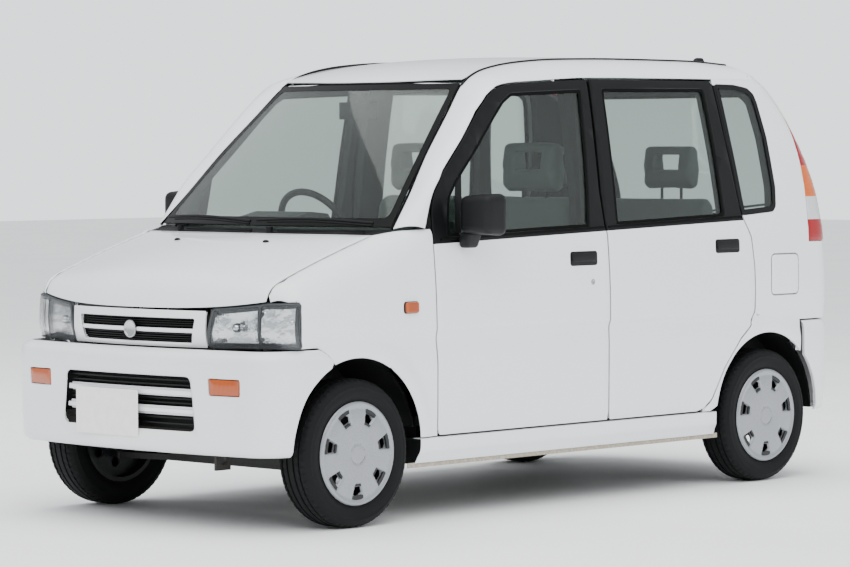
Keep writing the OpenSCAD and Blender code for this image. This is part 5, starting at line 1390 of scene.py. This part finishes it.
def copy_of(pad, name, dx):
    other = pad.copy()
    other.data = pad.data.copy()
    for key in [key for key in other.keys() if key.startswith("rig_")]:
        del other[key]
    other.name = name
    for v in other.data.vertices:
        v.co.x += dx / 1000
    bpy.context.scene.collection.objects.link(other)
    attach(other, "root")
    return other


SEAT_X = 300
base = foam("front_cushion_left", [(-422, 474), (-404, 452), (56, 449), (80, 474), (80, 556), (36, 576), (-300, 602),
    (-394, 591), (-424, 556)], SEAT_X - 229, SEAT_X + 229, "root", 9, replaces=("front_seats",))
copy_of(base, "front_cushion_right", -2 * SEAT_X)
back = foam("front_backrest_left", [(104, 512), (176, 508), (198, 562), (254, 1000), (254, 1110), (228, 1146),
    (186, 1148), (158, 1110), (70, 640), (70, 596)], SEAT_X - 219, SEAT_X + 219, "root", 9)
copy_of(back, "front_backrest_right", -2 * SEAT_X)
rest = foam("front_headrest_left", [(154, 1178), (187, 1156), (222, 1165), (234, 1240), (222, 1326), (196, 1347),
    (164, 1338), (148, 1260)], SEAT_X - 134, SEAT_X + 134, "root", 6, (1238, 1314, 190, 138))
copy_of(rest, "front_headrest_right", -2 * SEAT_X)
foam("rear_cushion", [(528, 464), (550, 449), (952, 449), (952, 552), (604, 582), (538, 562)], -470, 470, "root", 8,
    replaces=("rear_seat",))
foam("rear_backrest", [(970, 488), (1014, 488), (1042, 562), (1102, 1000), (1098, 1096), (1070, 1130), (1036, 1122),
    (1016, 1080), (938, 624), (938, 580)], -467, 467, "root", 8)
rest = foam("rear_headrest_left", [(1024, 1173), (1052, 1156), (1080, 1165), (1092, 1230), (1080, 1312), (1059, 1332),
    (1032, 1322), (1019, 1250)], 146, 394, "root", 6, (1230, 1300, 1060, 122))
copy_of(rest, "rear_headrest_right", -540)
for n, x, y, z0, z1 in ((0, 240, 200, 1105, 1175), (1, 360, 200, 1105, 1175), (2, -240, 200, 1105, 1175), (3, -360,
    200,
        1105, 1175), (4, 220, 1058, 1085, 1172), (5, 320, 1058, 1085, 1172), (6, -220, 1058, 1085, 1172),
        (7, -320, 1058, 1085, 1172)):
    bead("headrest_stem_%d" % n, [(x, y, z0), (x, y, z1)], 6, black_plastic, "root")

# ---- Steering wheel ----
# Black polyurethane rim foamed on a steel ring, with a padded boss and three spokes.
axis = Vector((0, 0.883, 0.469)).normalized()
tilt = axis.to_track_quat("Z", "Y").to_matrix().to_4x4()
seat_of_wheel = Matrix.Translation((-0.330, -0.348, 1.0)) @ tilt
bpy.ops.object.select_all(action="DESELECT")
bpy.ops.mesh.primitive_torus_add(major_segments=96, minor_segments=20, major_radius=0.180, minor_radius=0.0135)
ring = bpy.context.object
parts = [ring]
for z, r, h, n in ((-0.010, 0.052, 0.038, 48), (-0.085, 0.010, 0.128, 24)):
    bpy.ops.mesh.primitive_cylinder_add(vertices=n, radius=r, depth=h, location=(0, 0, z))
    parts.append(bpy.context.object)
for a in (15, 165, 270):
    bpy.ops.mesh.primitive_cube_add(size=1, location=(0, 0, 0))
    arm = bpy.context.object
    arm.scale = (0.135, 0.034, 0.013)
    arm.location = (0.11 * math.cos(math.radians(a)), 0.11 * math.sin(math.radians(a)), -0.006)
    arm.rotation_euler = (0, 0, math.radians(a))
    parts.append(arm)
bpy.ops.object.select_all(action="DESELECT")
for p in parts:
    p.select_set(True)
bpy.context.view_layer.objects.active = ring
bpy.ops.object.join()
ring = bpy.context.object
ring.name = "steering_wheel_rim"
ring.matrix_world = seat_of_wheel
bpy.ops.object.transform_apply(location=True, rotation=True, scale=True)
edge = ring.modifiers.new("edge", "BEVEL")
edge.width, edge.segments, edge.limit_method = 0.004, 3, "ANGLE"
bpy.ops.object.modifier_apply(modifier="edge")
ring.data.materials.clear()
ring.data.materials.append(black_plastic)
finish_piece(ring, 0, 40)
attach(ring, "steering_wheel")
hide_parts("steering_wheel")

# ---- Windscreen wipers ----
# Two black steel arms with rubber blades, parked along the foot of the screen.
for n, x0, x1, z0, z1 in ((0, -545, -20, 1062, 1054), (1, 15, 540, 1058, 1052)):
    for part, lift, up, r, e in (("arm", 17, 0, 4.2, 60), ("blade", 11, 9, 5.2, 0)):
        bead("wiper_%s_%d" % (part, n), [(x, screen_y(x, 1050) - lift, z0 + (z1 - z0) * (x - x0) / (x1 - x0) + up
            + 10 * math.sin(math.pi * (x - x0) / (x1 - x0))) for x in spread(x0 + e, x1, 25)], r, black_plastic,
            "root")

# ---- Aerial base ----
# Small moulded foot of the roof aerial at the back, left of the middle.
bpy.ops.object.select_all(action="DESELECT")
bpy.ops.mesh.primitive_cube_add(size=1, location=(0, 0, 0))
foot = bpy.context.object
foot.name = "aerial_foot"
foot.scale = (0.034, 0.070, 0.026)
bpy.ops.object.transform_apply(location=False, rotation=False, scale=True)
for v in foot.data.vertices:
    if v.co.z > 0:
        v.co.x *= 0.55
        v.co.y = v.co.y * 0.5 + 0.008
soft = foot.modifiers.new("soft", "BEVEL")
soft.width, soft.segments = 0.007, 4
bpy.ops.object.modifier_apply(modifier="soft")
foot.location = (0.43, 1.03, roof_point(430, 1030)[2] / 1000 + 0.008)
bpy.ops.object.transform_apply(location=True, rotation=True, scale=True)
foot.data.materials.append(black_plastic)
finish_piece(foot, 0, 35)
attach(foot, "root")
